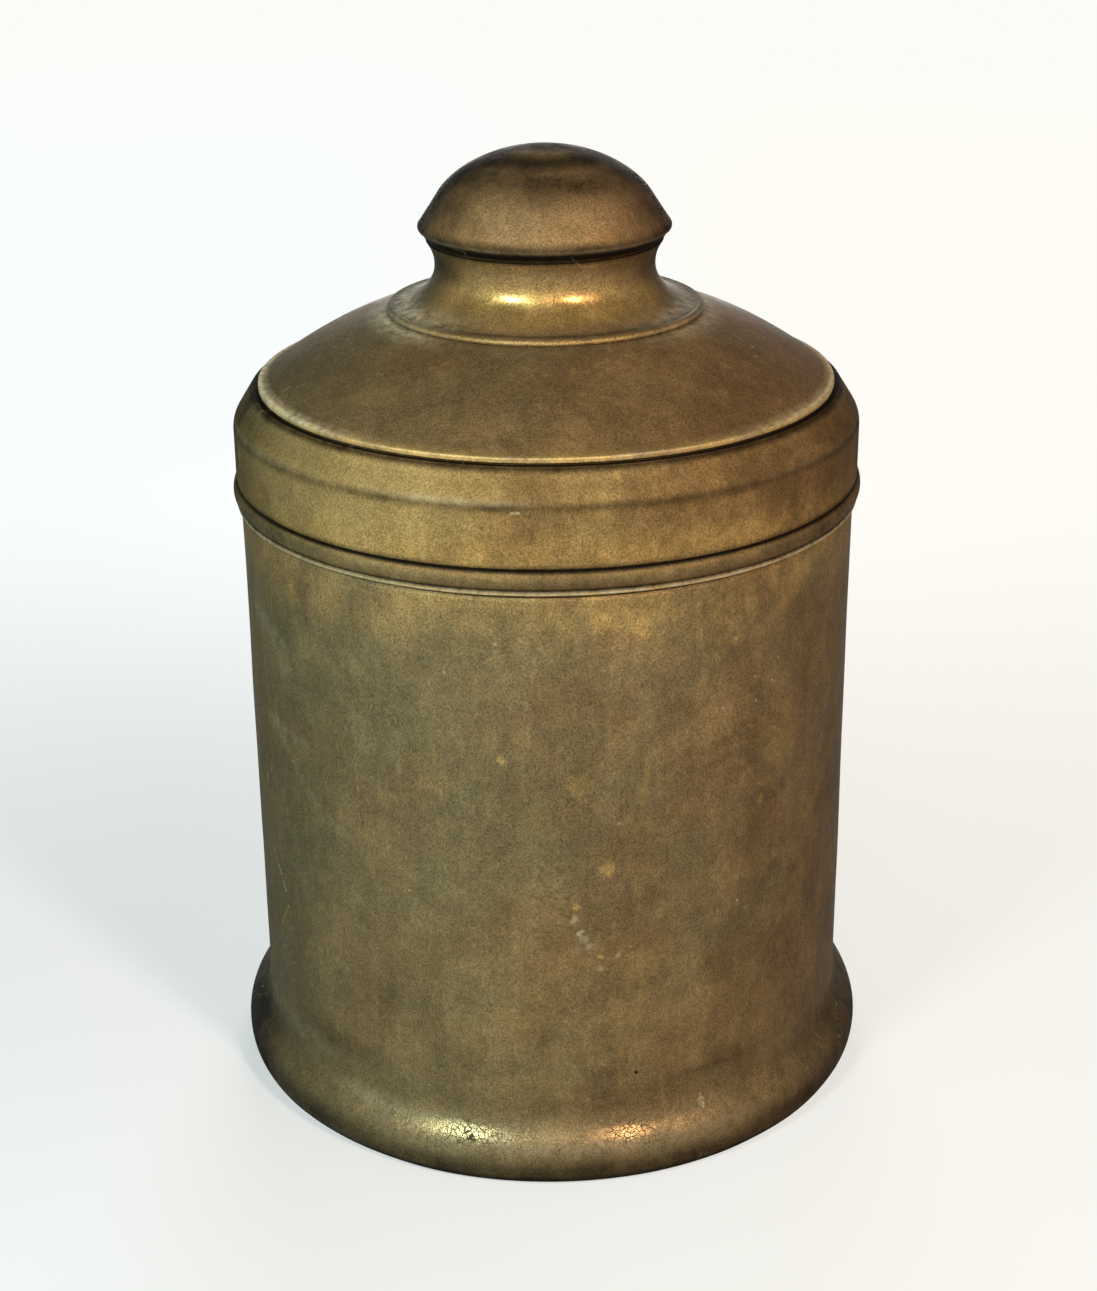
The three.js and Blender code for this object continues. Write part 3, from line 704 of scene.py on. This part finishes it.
turn_and_seat(
    "lid_rim_spun", ring(rim_outer, rim_inner), 192, 0.12, skirt_brass, "lid", "aged_brass",
    "lid_rim", dents=(30, 0.16),
    # Painted shade darkens the bead's sides, the ledge in the gap under the dome's ring and the
    # crease at the bend; the whole bead is darker too. The pale line just above the bend on the
    # left is a painted highlight, and the golden wear at azimuth -13 on the skirt a painted
    # reflection of the left lamp.
    wear=[(53.5, LIP + 0.3, 0.4, 0.9), (SKIRT, 112.0, 3.0, 0.32),
          (SKIRT, 111.8, 2.4, 0.85, -13, 5)],
    grime=[(53.2, BEAD + 1.65, 0.62, 1.1), (53.3, LIP + 0.95, 0.35, 1.2),
           (53.9, BEAD - 0.2, 1.3, 0.5), (53.9, BEAD + 0.2, 1.4, 0.72, -52, 26),
           (53.9, BEAD + 0.2, 1.4, 0.68, 52, 26), (SHOULDER_TOP - 0.7, LEDGE, 0.85, 1.15),
           (SHOULDER_TOP + 0.1, LEDGE - 0.2, 0.7, 0.85), (51.5, 122.7, 2.0, 0.14),
           (SKIRT, BEND, 0.8, 0.6)],
    residue=[(SKIRT, BEND + 0.4, 0.5, 0.3)],
    pale=[(53.5, LIP + 0.25, 0.42, 1.0), (53.9, BEAD + 0.1, 1.1, 0.12),
          (53.0, BEND + 0.6, 0.5, 0.5, -17, 11)])

# %% [markdown]
# The dome is a separate disc that lies on the ledge, so its raw edge shows as a bright ring with a
# black line below it: a narrow gap, and painted shade on the rim's ledge. From the ring it climbs
# in one easy bow to the knob.

# %% Lid dome
DOME_EDGE, DOME_FOOT, DOME_RIM = 48.9, 125.6, 126.5
SEAT_RADIUS, SEAT_AT, ROD_HOLE, DOME_TOP = 26.6, 137.5, 2.3, 139.9
EDGE_POINTS = 7

dome_outer = joined(
    straight((DOME_EDGE, DOME_RIM - 0.85), (DOME_EDGE, DOME_RIM - 0.3), 3),
    [(DOME_EDGE - 0.12, DOME_RIM - 0.08), (DOME_EDGE - 0.4, DOME_RIM + 0.02),
     (DOME_EDGE - 0.95, DOME_RIM)],
    sweep((DOME_EDGE - 1.05, DOME_RIM + 0.05), (-6.8, 5.1), (-7.2, 2.1),
          (SEAT_RADIUS, SEAT_AT), 22),
    sweep((SEAT_RADIUS, SEAT_AT), (-6.0, 1.7), (-6.0, 0), (ROD_HOLE, DOME_TOP), 8),
)
dome_inner = inner_face(dome_outer, LID_SHEET)[EDGE_POINTS:]
dome_section = joined([(DOME_EDGE, DOME_FOOT)], dome_outer, dome_inner[::-1],
                      [(DOME_EDGE - 1.0, DOME_FOOT), (DOME_EDGE, DOME_FOOT)])
turn_and_seat(
    "lid_dome_spun", dome_section, 192, 0.08, dome_brass, "lid", "aged_brass", "lid_dome",
    dents=(24, 0.14),
    wear=[(DOME_EDGE, 126.0, 0.85, 1.0), (48.45, 126.5, 0.6, 0.95)],
    grime=[(47.7, 126.75, 0.3, 0.35), (26.7, 137.5, 0.35, 0.1)],
    residue=[(48.5, 126.4, 0.72, 1.5), (27.4, 137.2, 0.9, 0.95), (28.6, 136.8, 1.4, 0.5)],
    pale=[(48.8, 126.2, 0.6, 0.36)])

# %% [markdown]
# The knob is hollow. Its stem spreads from a waist through a cove to a thin flange on the dome.
# The cove is one Bezier stretch that leaves the flange nearly level and arrives at the waist
# straight up.

# %% Knob stem
WAIST, WAIST_AT, STEM_TOP, SPIGOT, SPIGOT_TOP = 18.5, 145.1, 149.4, 18.9, 152.0
STEM_BORE, SPIGOT_BORE = 17.8, 18.2

stem_outer = joined(
    [(26.35, 137.62), (26.6, 137.7), (26.68, 138.05), (26.5, 138.45), (26.1, 138.66),
     (25.75, 138.62), (25.5, 138.6)],
    sweep((25.4, 138.66), (-3.9, 0.35), (0, 3.0), (WAIST, WAIST_AT), 22),
    sweep((WAIST, WAIST_AT), (0, 2.1), (0.75, 1.2), (19.9, STEM_TOP), 8),
    [(SPIGOT, STEM_TOP), (SPIGOT, SPIGOT_TOP)],
)
stem_inner = joined(
    [(25.0, 137.9)], sweep((24.6, 138.0), (-3.9, 0.35), (0, 3.0), (STEM_BORE, WAIST_AT - 0.1), 12),
    [(SPIGOT_BORE, STEM_TOP), (SPIGOT_BORE, SPIGOT_TOP)])
turn_and_seat(
    "knob_stem_spun", ring(stem_outer, stem_inner), 144, 0.06, knob_brass, "lid", "aged_brass",
    "knob_stem",
    wear=[(26.6, 138.2, 0.55, 0.3), (19.6, 142.4, 3.2, 0.8)],
    shine=[(19.4, 142.6, 3.0, 0.62, -17, 9), (19.4, 142.6, 3.0, 0.62, 11, 8),
           (19.4, 142.6, 3.0, 0.12)],
    # Painted shade: the crease where the cove leaves the flange, the top of the stem under the cap
    # and the stem's sides. The pale ring on the neck is painted light where the cap's shadow falls;
    # the pale mark at the left of the cove is polish residue.
    pale=[(18.6, 146.6, 1.6, 0.15, 0, 40), (23.6, 139.5, 2.2, 0.6, -52, 18)],
    grime=[(24.9, 138.72, 1.0, 0.85), (19.9, 149.5, 0.6, 1.2), (18.6, 147.2, 2.2, 0.18),
           (26.4, 137.6, 0.22, 0.3), (18.9, 146.4, 3.4, 0.7, -66, 22),
           (18.9, 146.4, 3.4, 0.68, 66, 22)],
    residue=[(24.0, 139.0, 2.0, 0.75), (26.5, 138.0, 0.6, 0.6)])

# %% [markdown]
# A cap with a sharp edge closes the knob. Its underside leans out to the edge, and two Bezier
# stretches carry it from there over the top. Its top is painted dark, painted shade that stands for
# the dark room it reflects, and its sides, underside and edge carry painted shade too.

# %% Knob cap
CAP_FOOT, CAP_SHOULDER, CAP_TOP, CAP_SHEET = 149.7, (17.8, 156.9), 164.6, 0.7

cap_outer = joined(
    sweep((19.9, CAP_FOOT), (0.3, 0.5), (0.3, 0.5), (20.75, 151.0), 4),
    arc((20.5, 151.6), 0.72, -42, 33, 5),
    sweep((21.05, 152.0), (-1.6, 2.4), (-1.2, 1.9), CAP_SHOULDER, 8),
    sweep(CAP_SHOULDER, (-2.2, 3.4), (-8.9, 0), (0.0, CAP_TOP), 20),
)
cap_inner = joined(
    [(19.2, CAP_FOOT), (19.9, 151.5)],
    sweep((17.1, 156.6), (-2.2, 3.3), (-8.6, 0), (0.0, CAP_TOP - CAP_SHEET), 12))
turn_and_seat(
    "knob_cap_spun", joined(cap_inner[::-1], cap_outer), 144, 0.06, cap_brass, "lid", "aged_brass",
    "knob_cap", dents=(14, 0.14),
    wear=[(21.2, 152.6, 1.2, 0.12)],
    # Painted shade on the top, the sides, the underside and the edge; the pale line at the edge is
    # a painted highlight.
    grime=[(20.2, 150.4, 1.0, 1.4), (0, CAP_TOP, 7, 0.93), (8.5, 162.8, 5.5, 0.93),
           (13, 160.4, 6, 0.72), (18, 156.5, 6, 0.56, -58, 26), (18, 156.5, 6, 0.4, 58, 26),
           (21.0, 151.6, 0.7, 0.9)],
    pale=[(20.9, 151.2, 0.4, 0.3)])

# %% [markdown]
# The inside is seen when the lid is lifted. Its brass and tin kept more of their shine than the
# outside, but tobacco left brown blotches and the lathe left fine rings. Both metals share one
# group: clean metal, stained in clouds, with rings that depend only on radius and height.

# %% Stained metal group
def stained_metal_group():
    group, given, result = new_group(
        "stained_metal",
        [("Place", "Vector"), ("Clean", "Color"), ("Stain", "Color"), ("Amount", "Float")],
        [("Color", "Color"), ("Roughness", "Float"), ("Height", "Float")])
    place = given["Place"]
    radius = vector("LENGTH", stretched(place, 1, 1, 0), output="Value")
    along = put("ShaderNodeCombineXYZ", {0: radius, 2: axes(place)[2]}).outputs[0]
    rings = noise(along, 2600, 2, 0.6)
    blotches = noise(place, 62, 7, 0.68)
    fine = noise(place, 1500, 2, 0.6)
    stained = times(ramp(blotches, 0.4, 0.66), given["Amount"])
    metal = blend(stained, given["Clean"], given["Stain"])
    lit = times(ripple(rings, 0.25, 0.75, 0.14), ripple(fine, 0.25, 0.75, 0.14))
    link(lit_by(metal, lit), result["Color"])
    rough = plus(ramp(rings, 0.25, 0.75, 0.3, 0.42), times(stained, 0.3))
    link(rough, result["Roughness"])
    link(plus(rings, times(blotches, 0.5)), result["Height"])
    return group


stained = stained_metal_group()
print("group:", stained.name)

# %% [markdown]
# Three inner metals use the group: turned brass for the small pieces, duller brass for the hidden
# base and tin for the liner and the press.

# %% Inner metals
def inner_metal(name, clean, stain, amount, metallic):
    material, shader, place = new_material(name)
    metal = put("ShaderNodeGroup", {"Place": place, "Clean": clean, "Stain": stain,
                "Amount": amount}, node_tree=stained).outputs
    dress(shader, metal["Color"], metal["Roughness"], metal["Height"], 0.3, 0.1 * MM)
    shader.inputs["Metallic"].default_value = metallic
    return material


turned_brass = inner_metal("turned_brass", colour(184, 150, 86), colour(112, 88, 52), 0.75, 0.8)
hidden_brass = inner_metal("hidden_brass", colour(128, 108, 66), colour(84, 68, 44), 0.9, 0.6)
liner_tin = inner_metal("liner_tin", colour(158, 156, 148), colour(112, 93, 66), 0.75, 0.65)
print("inner metals ready")

# %% [markdown]
# Two things in the lid are not metal. The seal is a ring of pressed cork: rounded granules of
# several browns with dark joints. The moistener holds a disc of unglazed clay: orange, chalky in
# places and full of pores. Voronoi cells make the granules; thresholded noise makes the pores.

# %% Cork and clay
GRANULES = 620.0


def plain_material(name, build):
    material, shader, place = new_material(name)
    surface, rough, height = build(place)
    dress(shader, surface, rough, height, 0.6, 0.3 * MM)
    shader.inputs["Specular IOR Level"].default_value = 0.25
    return material


def cork(place):
    cells = put("ShaderNodeTexVoronoi", {"Vector": place, "Scale": GRANULES})
    edges = put("ShaderNodeTexVoronoi", {"Vector": place, "Scale": GRANULES},
                feature="DISTANCE_TO_EDGE").outputs["Distance"]
    shade = put("ShaderNodeSeparateColor", {0: cells.outputs["Color"]}).outputs[0]
    granule = blend(shade, colour(178, 142, 98), colour(132, 96, 60))
    pores = ramp(noise(place, 1400, 2), 0.6, 0.7)
    dark = most(times(ramp(edges, 0.02, 0.16, 1.0, 0.0), 0.7), pores)
    surface = blend(dark, granule, colour(72, 48, 28))
    rough = ramp(shade, 0.0, 1.0, 0.8, 0.95)
    return surface, rough, minus(ramp(edges, 0.0, 0.3), pores)


def clay(place):
    bloom = ramp(noise(place, 90, 6, 0.65), 0.4, 0.7)
    body = blend(bloom, colour(168, 98, 66), colour(196, 140, 106))
    pores = ramp(noise(place, 1300, 2), 0.62, 0.7)
    grit = times(noise(place, 2600, 2), 0.5)
    surface = blend(times(pores, 0.7), body, colour(96, 54, 36))
    return surface, ramp(bloom, 0, 1, 0.85, 0.97), minus(grit, pores)


pressed_cork = plain_material("pressed_cork", cork)
unglazed_clay = plain_material("unglazed_clay", clay)
print("cork and clay ready")

# %% [markdown]
# A flat base closes the foot from inside, its middle pressed up for stiffness, and the tin liner
# stands on it: a drawn cup with a rounded corner and a lip that hangs over the jar's rim.

# %% Base plate and tin liner
def span(node):
    low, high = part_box(node)
    return low[2] / MM, high[2] / MM


BASE, BASE_SHEET, RISE_FROM, RISE_TO = 53.7, 1.2, 47.6, 45.8
base_low, base_high = span("base_plate")
base_flat = base_low + BASE_SHEET
base_top = joined(straight((BASE, base_flat), (RISE_FROM, base_flat), 3),
                  sweep((RISE_FROM, base_flat), (-0.7, 0), (-0.7, 0), (RISE_TO, base_high), 6),
                  straight((RISE_TO, base_high), (0, base_high), 6))
base_under = [(r, z - BASE_SHEET) for r, z in base_top]
turn_and_seat("base_plate_pressed", joined(base_under[::-1], base_top), 128, 0.15, hidden_brass,
              "jar", "aged_brass", "base_plate")

LINER, LINER_SHEET, LINER_CORNER, LINER_LIP, LINER_FLAT = 50.9, 0.5, 2.5, 51.9, 30
liner_low, liner_high = span("tin_liner")
liner_floor, liner_bore = liner_low + LINER_SHEET, LINER - LINER_SHEET
corner = (LINER - LINER_CORNER, liner_low + LINER_CORNER)
liner_out = joined(
    [(0, liner_low), (LINER_FLAT, liner_low)], arc(corner, LINER_CORNER, -90, 0, 8),
    straight((LINER, corner[1]), (LINER, liner_high - LINER_SHEET), 12),
    [(LINER_LIP, liner_high - LINER_SHEET)])
liner_in = joined(
    [(LINER_LIP, liner_high - 0.1), (LINER_LIP - 0.2, liner_high), (liner_bore + 0.4, liner_high)],
    straight((liner_bore, liner_high - 0.4), (liner_bore, corner[1]), 12),
    arc(corner, LINER_CORNER - LINER_SHEET, 0, -90, 8),
    [(LINER_FLAT, liner_floor), (0, liner_floor)])
turn_and_seat(
    "tin_liner_drawn", joined(liner_out, liner_in), 128, 0.08, liner_tin, "jar", "tin", "tin_liner")

# %% [markdown]
# The press is a loose tin plate that keeps the tobacco flat. Its lower edge is rounded like the
# liner's corner, a shallow groove runs round its face, and a turned brass knob is held on it by
# one slotted screw from below. The slot is cut with a Boolean modifier by a box.

# %% Press
PLATE, PLATE_ROUND, PLATE_EDGE, SCREW_HOLE, SINK = 49.6, 1.5, 0.6, 1.9, 1.6
GROOVE, GROOVE_MOUTH, GROOVE_FLOOR, GROOVE_DEPTH = 43.7, 0.7, 0.3, 0.35
plate_low, plate_high = span("press_plate")
plate_section = joined(
    [(SCREW_HOLE + SINK, plate_low), (30, plate_low)],
    arc((PLATE - PLATE_ROUND, plate_low + PLATE_ROUND), PLATE_ROUND, -90, 0, 6),
    [(PLATE, plate_high - PLATE_EDGE), (PLATE - PLATE_EDGE, plate_high),
     (GROOVE + GROOVE_MOUTH, plate_high), (GROOVE + GROOVE_FLOOR, plate_high - GROOVE_DEPTH),
     (GROOVE - GROOVE_FLOOR, plate_high - GROOVE_DEPTH), (GROOVE - GROOVE_MOUTH, plate_high),
     (20, plate_high), (SCREW_HOLE, plate_high), (SCREW_HOLE, plate_low + SINK),
     (SCREW_HOLE + SINK, plate_low)])
turn_and_seat(
    "press_plate_turned", plate_section, 128, 0.12, liner_tin, "press", "tin", "press_plate")

HOLE_DEPTH, KNOB_FOOT, KNOB_WAIST, BALL, BALL_TALL = 7.0, 6.5, 3.8, 8.0, 6.0
knob_low, knob_high = span("press_knob")
knob_waist = (KNOB_WAIST, knob_low + 2.6)
knob_section = joined(
    [(0, knob_low + HOLE_DEPTH), (SCREW_HOLE, knob_low + HOLE_DEPTH), (SCREW_HOLE, knob_low),
     (KNOB_FOOT - 0.2, knob_low), (KNOB_FOOT, knob_low + 0.3), (KNOB_FOOT, knob_low + 0.9)],
    sweep((KNOB_FOOT - 0.2, knob_low + 1.0), (-2.3, 0.1), (0, 1.1), knob_waist, 8),
    sweep(knob_waist, (0, 1.2), (1.2, 0.8), (6.13, knob_high - 9.86), 6),
    arc((0, knob_high - BALL_TALL), BALL, -40, 90, 24, BALL_TALL))
turn_and_seat(
    "press_knob_turned", knob_section, 72, 0.1, turned_brass, "press", "bare_brass", "press_knob")

SCREW, SCREW_HEAD, SLOT_SIZE = 1.6, 3.2, (8 * MM, 0.8 * MM, 1.4 * MM)
screw_low, screw_high = span("press_screw")
screw_section = [(0, screw_low), (SCREW_HEAD - 0.1, screw_low), (SCREW_HEAD, screw_low + 0.15),
                 (SCREW, screw_low + 1.7), (SCREW, screw_high - 0.4), (1.2, screw_high),
                 (0, screw_high)]
press_screw = turn_on_lathe("press_screw_turned", screw_section, 48)
bpy.ops.mesh.primitive_cube_add(size=1, location=(0, 0, screw_low * MM))
slot_cutter = bpy.context.active_object
slot_cutter.scale = SLOT_SIZE
cut(press_screw, slot_cutter, "DIFFERENCE")
soften(press_screw, 0.05)
seat(press_screw, turned_brass, "press", "bare_brass", "press_screw")

# %% [markdown]
# Under the dome one rod draws the whole knob down: a flat head inside the cap, a threaded tail, a
# washer and a six-sided nut. The thread is a zigzag in the section. The nut is a turned blank with
# chamfered ends, cut to six flats by a Boolean with a hexagonal prism.

# %% Tie rod, washer and nut
ROD, ROD_HEAD, HEAD_THICK, THREAD_DEPTH, HALF_PITCH = 2.0, 5.0, 1.2, 0.28, 0.35
rod_low, rod_high = span("tie_rod")
thread = [(ROD - THREAD_DEPTH * (i % 2), rod_low + 0.5 + HALF_PITCH * i) for i in range(21)]
rod_section = joined(
    [(0, rod_low), (1.6, rod_low)], thread,
    [(ROD, rod_low + 8.2), (ROD, rod_high - HEAD_THICK), (ROD_HEAD - 0.2, rod_high - HEAD_THICK),
     (ROD_HEAD, rod_high - 1.0), (ROD_HEAD, rod_high - 0.3), (ROD_HEAD - 0.3, rod_high),
     (0, rod_high)])
turn_and_seat(
    "tie_rod_threaded", rod_section, 48, 0.04, turned_brass, "lid", "bare_brass", "tie_rod")

WASHER, WASHER_HOLE = 7.0, 2.3
washer_low, washer_high = span("rod_washer")
washer = [(WASHER_HOLE, washer_low), (WASHER, washer_low), (WASHER, washer_high),
          (WASHER_HOLE, washer_high), (WASHER_HOLE, washer_low)]
turn_and_seat(
    "rod_washer_turned", washer, 64, 0.18, turned_brass, "lid", "bare_brass", "rod_washer")

NUT_FLATS, NUT_HOLE, NUT_BLANK, NUT_FACE, CHAMFER = 7.0, 2.25, 4.1, 3.55, 0.35
nut_low, nut_high = span("rod_nut")
blank = [(NUT_HOLE, nut_low), (NUT_FACE, nut_low), (NUT_BLANK, nut_low + CHAMFER),
         (NUT_BLANK, nut_high - CHAMFER), (NUT_FACE, nut_high), (NUT_HOLE, nut_high),
         (NUT_HOLE, nut_low)]
rod_nut = turn_on_lathe("rod_nut_cut", blank, 72)
bpy.ops.mesh.primitive_cylinder_add(
    vertices=6, radius=NUT_FLATS / math.sqrt(3) * MM, depth=9 * MM,
    location=(0, 0, (nut_low + nut_high) / 2 * MM))
cut(rod_nut, bpy.context.active_object, "INTERSECT")
soften(rod_nut, 0.06)
seat(rod_nut, turned_brass, "lid", "bare_brass", "rod_nut")

# %% [markdown]
# The cork ring sits in the corner of the lid, where the jar's rim presses on it. The moistener is
# a short sleeve that pushes over a collar under the dome: the clay disc lies on a pierced grille,
# which lies on the sleeve's turned-in ledge.

# %% Cork seal, collar and sleeve
CORK_HOLE, CORK_WIDE, CORK_SIDE = 47.3, 52.1, 51.9
cork_low, cork_high = span("cork_seal")
cork_section = joined(
    straight((CORK_HOLE, cork_low), (CORK_WIDE, cork_low), 6),
    straight((CORK_WIDE, cork_low + 0.1), (CORK_SIDE, cork_low + 1.4), 2),
    straight((CORK_SIDE, cork_low + 1.4), (49.25, cork_high), 6),
    straight((49.2, cork_high), (CORK_HOLE, cork_high), 3),
    straight((CORK_HOLE, cork_high), (CORK_HOLE, cork_low), 6))
turn_and_seat("cork_seal_ring", cork_section, 192, 0.25, pressed_cork,
              "lid", "cork", "cork_seal", dents=(2.2, 0.2))

COLLAR, COLLAR_BORE = 27.0, 26.2
collar_low, collar_high = span("moistener_collar")
collar = ring(straight((COLLAR, collar_low), (COLLAR, collar_high), 4),
              straight((COLLAR_BORE, collar_low), (COLLAR_BORE, collar_high), 4))
turn_and_seat("moistener_collar_turned", collar, 128, 0.15, turned_brass,
              "lid", "bare_brass", "moistener_collar")

SLEEVE, SLEEVE_BORE, SLEEVE_LEDGE, SLEEVE_SHEET = 28.0, 27.3, 25.5, 0.7
sleeve_low, sleeve_high = span("moistener_sleeve")
sleeve = [(SLEEVE_LEDGE, sleeve_low), (SLEEVE - 0.4, sleeve_low), (SLEEVE, sleeve_low + 0.4),
          (SLEEVE, sleeve_low + 4), (SLEEVE, sleeve_high - 4), (SLEEVE, sleeve_high),
          (SLEEVE_BORE, sleeve_high), (SLEEVE_BORE, sleeve_low + SLEEVE_SHEET),
          (SLEEVE_LEDGE, sleeve_low + SLEEVE_SHEET), (SLEEVE_LEDGE, sleeve_low)]
turn_and_seat("moistener_sleeve_turned", sleeve, 128, 0.15, turned_brass,
              "moistener", "bare_brass", "moistener_sleeve")

# %% [markdown]
# The grille is a disc with rings of six and twelve holes and one in the middle. One peg is made,
# copied to every place with its own mesh, and the joined pegs are cut out at once.

# %% Grille and clay disc
GRILLE, HOLE, HOLE_RINGS = 27, 1.8, ((9, 6), (18, 12))
grille_low, grille_high = span("moistener_grille")
bpy.ops.object.select_all(action="DESELECT")
bpy.ops.mesh.primitive_cylinder_add(
    vertices=128, radius=GRILLE * MM, depth=(grille_high - grille_low) * MM,
    location=(0, 0, (grille_low + grille_high) / 2 * MM))
grille = bpy.context.active_object
grille.name = grille.data.name = "moistener_grille_pierced"
bpy.ops.object.transform_apply(location=True, rotation=True, scale=True)
bpy.ops.object.select_all(action="DESELECT")
bpy.ops.mesh.primitive_cylinder_add(
    vertices=28, radius=HOLE * MM, depth=6 * MM, location=(0, 0, grille_low * MM))
peg = bpy.context.active_object
pegs = [peg]
for r, a in ((r, 2 * math.pi * i / n) for r, n in HOLE_RINGS for i in range(n)):
    copy = peg.copy()
    copy.data = peg.data.copy()
    copy.location = (r * math.cos(a) * MM, r * math.sin(a) * MM, grille_low * MM)
    bpy.context.collection.objects.link(copy)
    pegs.append(copy)
for one in pegs:
    one.select_set(True)
bpy.context.view_layer.objects.active = peg
bpy.ops.object.join()
cut(grille, peg, "DIFFERENCE")
soften(grille, 0.1)
seat(grille, turned_brass, "moistener", "bare_brass", "moistener_grille")

CLAY, CLAY_EDGE = 26.9, 0.6
clay_low, clay_high = span("moistener_clay")
clay_section = joined(
    straight((0, clay_low), (CLAY - CLAY_EDGE, clay_low), 14),
    straight((CLAY, clay_low + CLAY_EDGE), (CLAY, clay_high - CLAY_EDGE), 3),
    straight((CLAY - CLAY_EDGE, clay_high), (0, clay_high), 14))
turn_and_seat("moistener_clay_fired", clay_section, 96, 0.2, unglazed_clay,
              "moistener", "clay", "moistener_clay", dents=(3, 0.12))

# %% [markdown]
# The jar stands on a plain pale floor. The camera, and the mirror-like rays that metal sends out,
# see the floor as nearly white, less so close to the jar, where its shadow has to show. The light
# that the floor throws back on the jar stays dim.

# %% Floor
PALE, COOL_PAINTED_LIGHT, WARM_PAINTED_LIGHT = colour(251, 252, 248), colour(249, 253, 254), colour(255, 252, 244)
DIM_FLOOR, SEEN_FLOOR = colour(120, 120, 118), colour(232, 237, 240)


def seen_rays():
    rays = put("ShaderNodeLightPath").outputs
    return most(rays["Is Camera Ray"], rays["Is Glossy Ray"], rays["Is Transmission Ray"])


bpy.ops.object.select_all(action="DESELECT")
bpy.ops.mesh.primitive_plane_add(size=8)
floor = bpy.context.active_object
floor.name = "floor"
paper, shader, place = new_material("pale_floor")
seen = seen_rays()
link(blend(seen, DIM_FLOOR, SEEN_FLOOR), shader.inputs["Base Color"])
shader.inputs["Roughness"].default_value = 0.9
sideways = axes(place)[0]
away = vector("LENGTH", place, output="Value")
# Near the jar the floor is painted cool on the left and warm on the right, with the lamps' tints,
# and more of it glows on the right: painted light that fills the shadow there and keeps the left
# one.
glow = blend(ramp(sideways, -0.16, 0.16), COOL_PAINTED_LIGHT, WARM_PAINTED_LIGHT)
glow = blend(ramp(away, 0.5, 1.6), glow, PALE)
white = put("ShaderNodeEmission", {"Color": glow, "Strength": 1.0}).outputs[0]
near = ramp(sideways, -0.1, 0.1, 0.36, 0.72)
share = times(seen, ramp(away, 0.07, 0.4, near, 1.0))
mix = put("ShaderNodeMixShader", {0: share, 1: shader.outputs[0], 2: white})
link(mix.outputs[0], tree.nodes["Material Output"].inputs["Surface"])
floor.data.materials.append(paper)
print("floor:", paper.name)

# %% [markdown]
# The world looks as pale as the floor but gives only a soft light. Two lamps in front, a cool one
# on the left and a warm one on the right, give the paired highlights. A wide, low lamp behind
# shows the far side without lighting anything that the camera sees.

# %% World and lamps
DIM_WORLD, DARK_CEILING, AIM = (0.14, 0.14, 0.14, 1), (0.1, 0.1, 0.095, 1), Vector((0, 0, 0.07))

world = bpy.data.worlds.new("studio")
bpy.context.scene.world = world
world.use_nodes = True
open_tree(world.node_tree)
height = axes(put("ShaderNodeTexCoord").outputs["Generated"])[2]
room = blend(ramp(height, 0.2, 0.6), PALE, DARK_CEILING)
link(blend(seen_rays(), DIM_WORLD, room), tree.nodes["Background"].inputs["Color"])


def lamp(name, place, size, power, tint):
    bpy.ops.object.light_add(type="AREA", location=place)
    light = bpy.context.active_object
    light.name = name
    light.rotation_euler = (Vector(place) - AIM).to_track_quat("Z", "Y").to_euler()
    light.data.shape = "DISK"
    light.data.size = size
    light.data.energy = power
    light.data.color = tint
    print(name, place)


lamp("cool_lamp", (-0.19, -0.3, 0.3), 0.09, 1.12, (0.84, 1.0, 0.98))
lamp("warm_lamp", (0.18, -0.305, 0.3), 0.06, 1.06, (1.0, 0.72, 0.56))
lamp("back_lamp", (0.0, 0.5, 0.16), 0.3, 2.2, (1.0, 0.96, 0.9))

# %% [markdown]
# Colours are shown as they are written, with no film look.

# %% Finish
bpy.context.scene.view_settings.view_transform = "Standard"
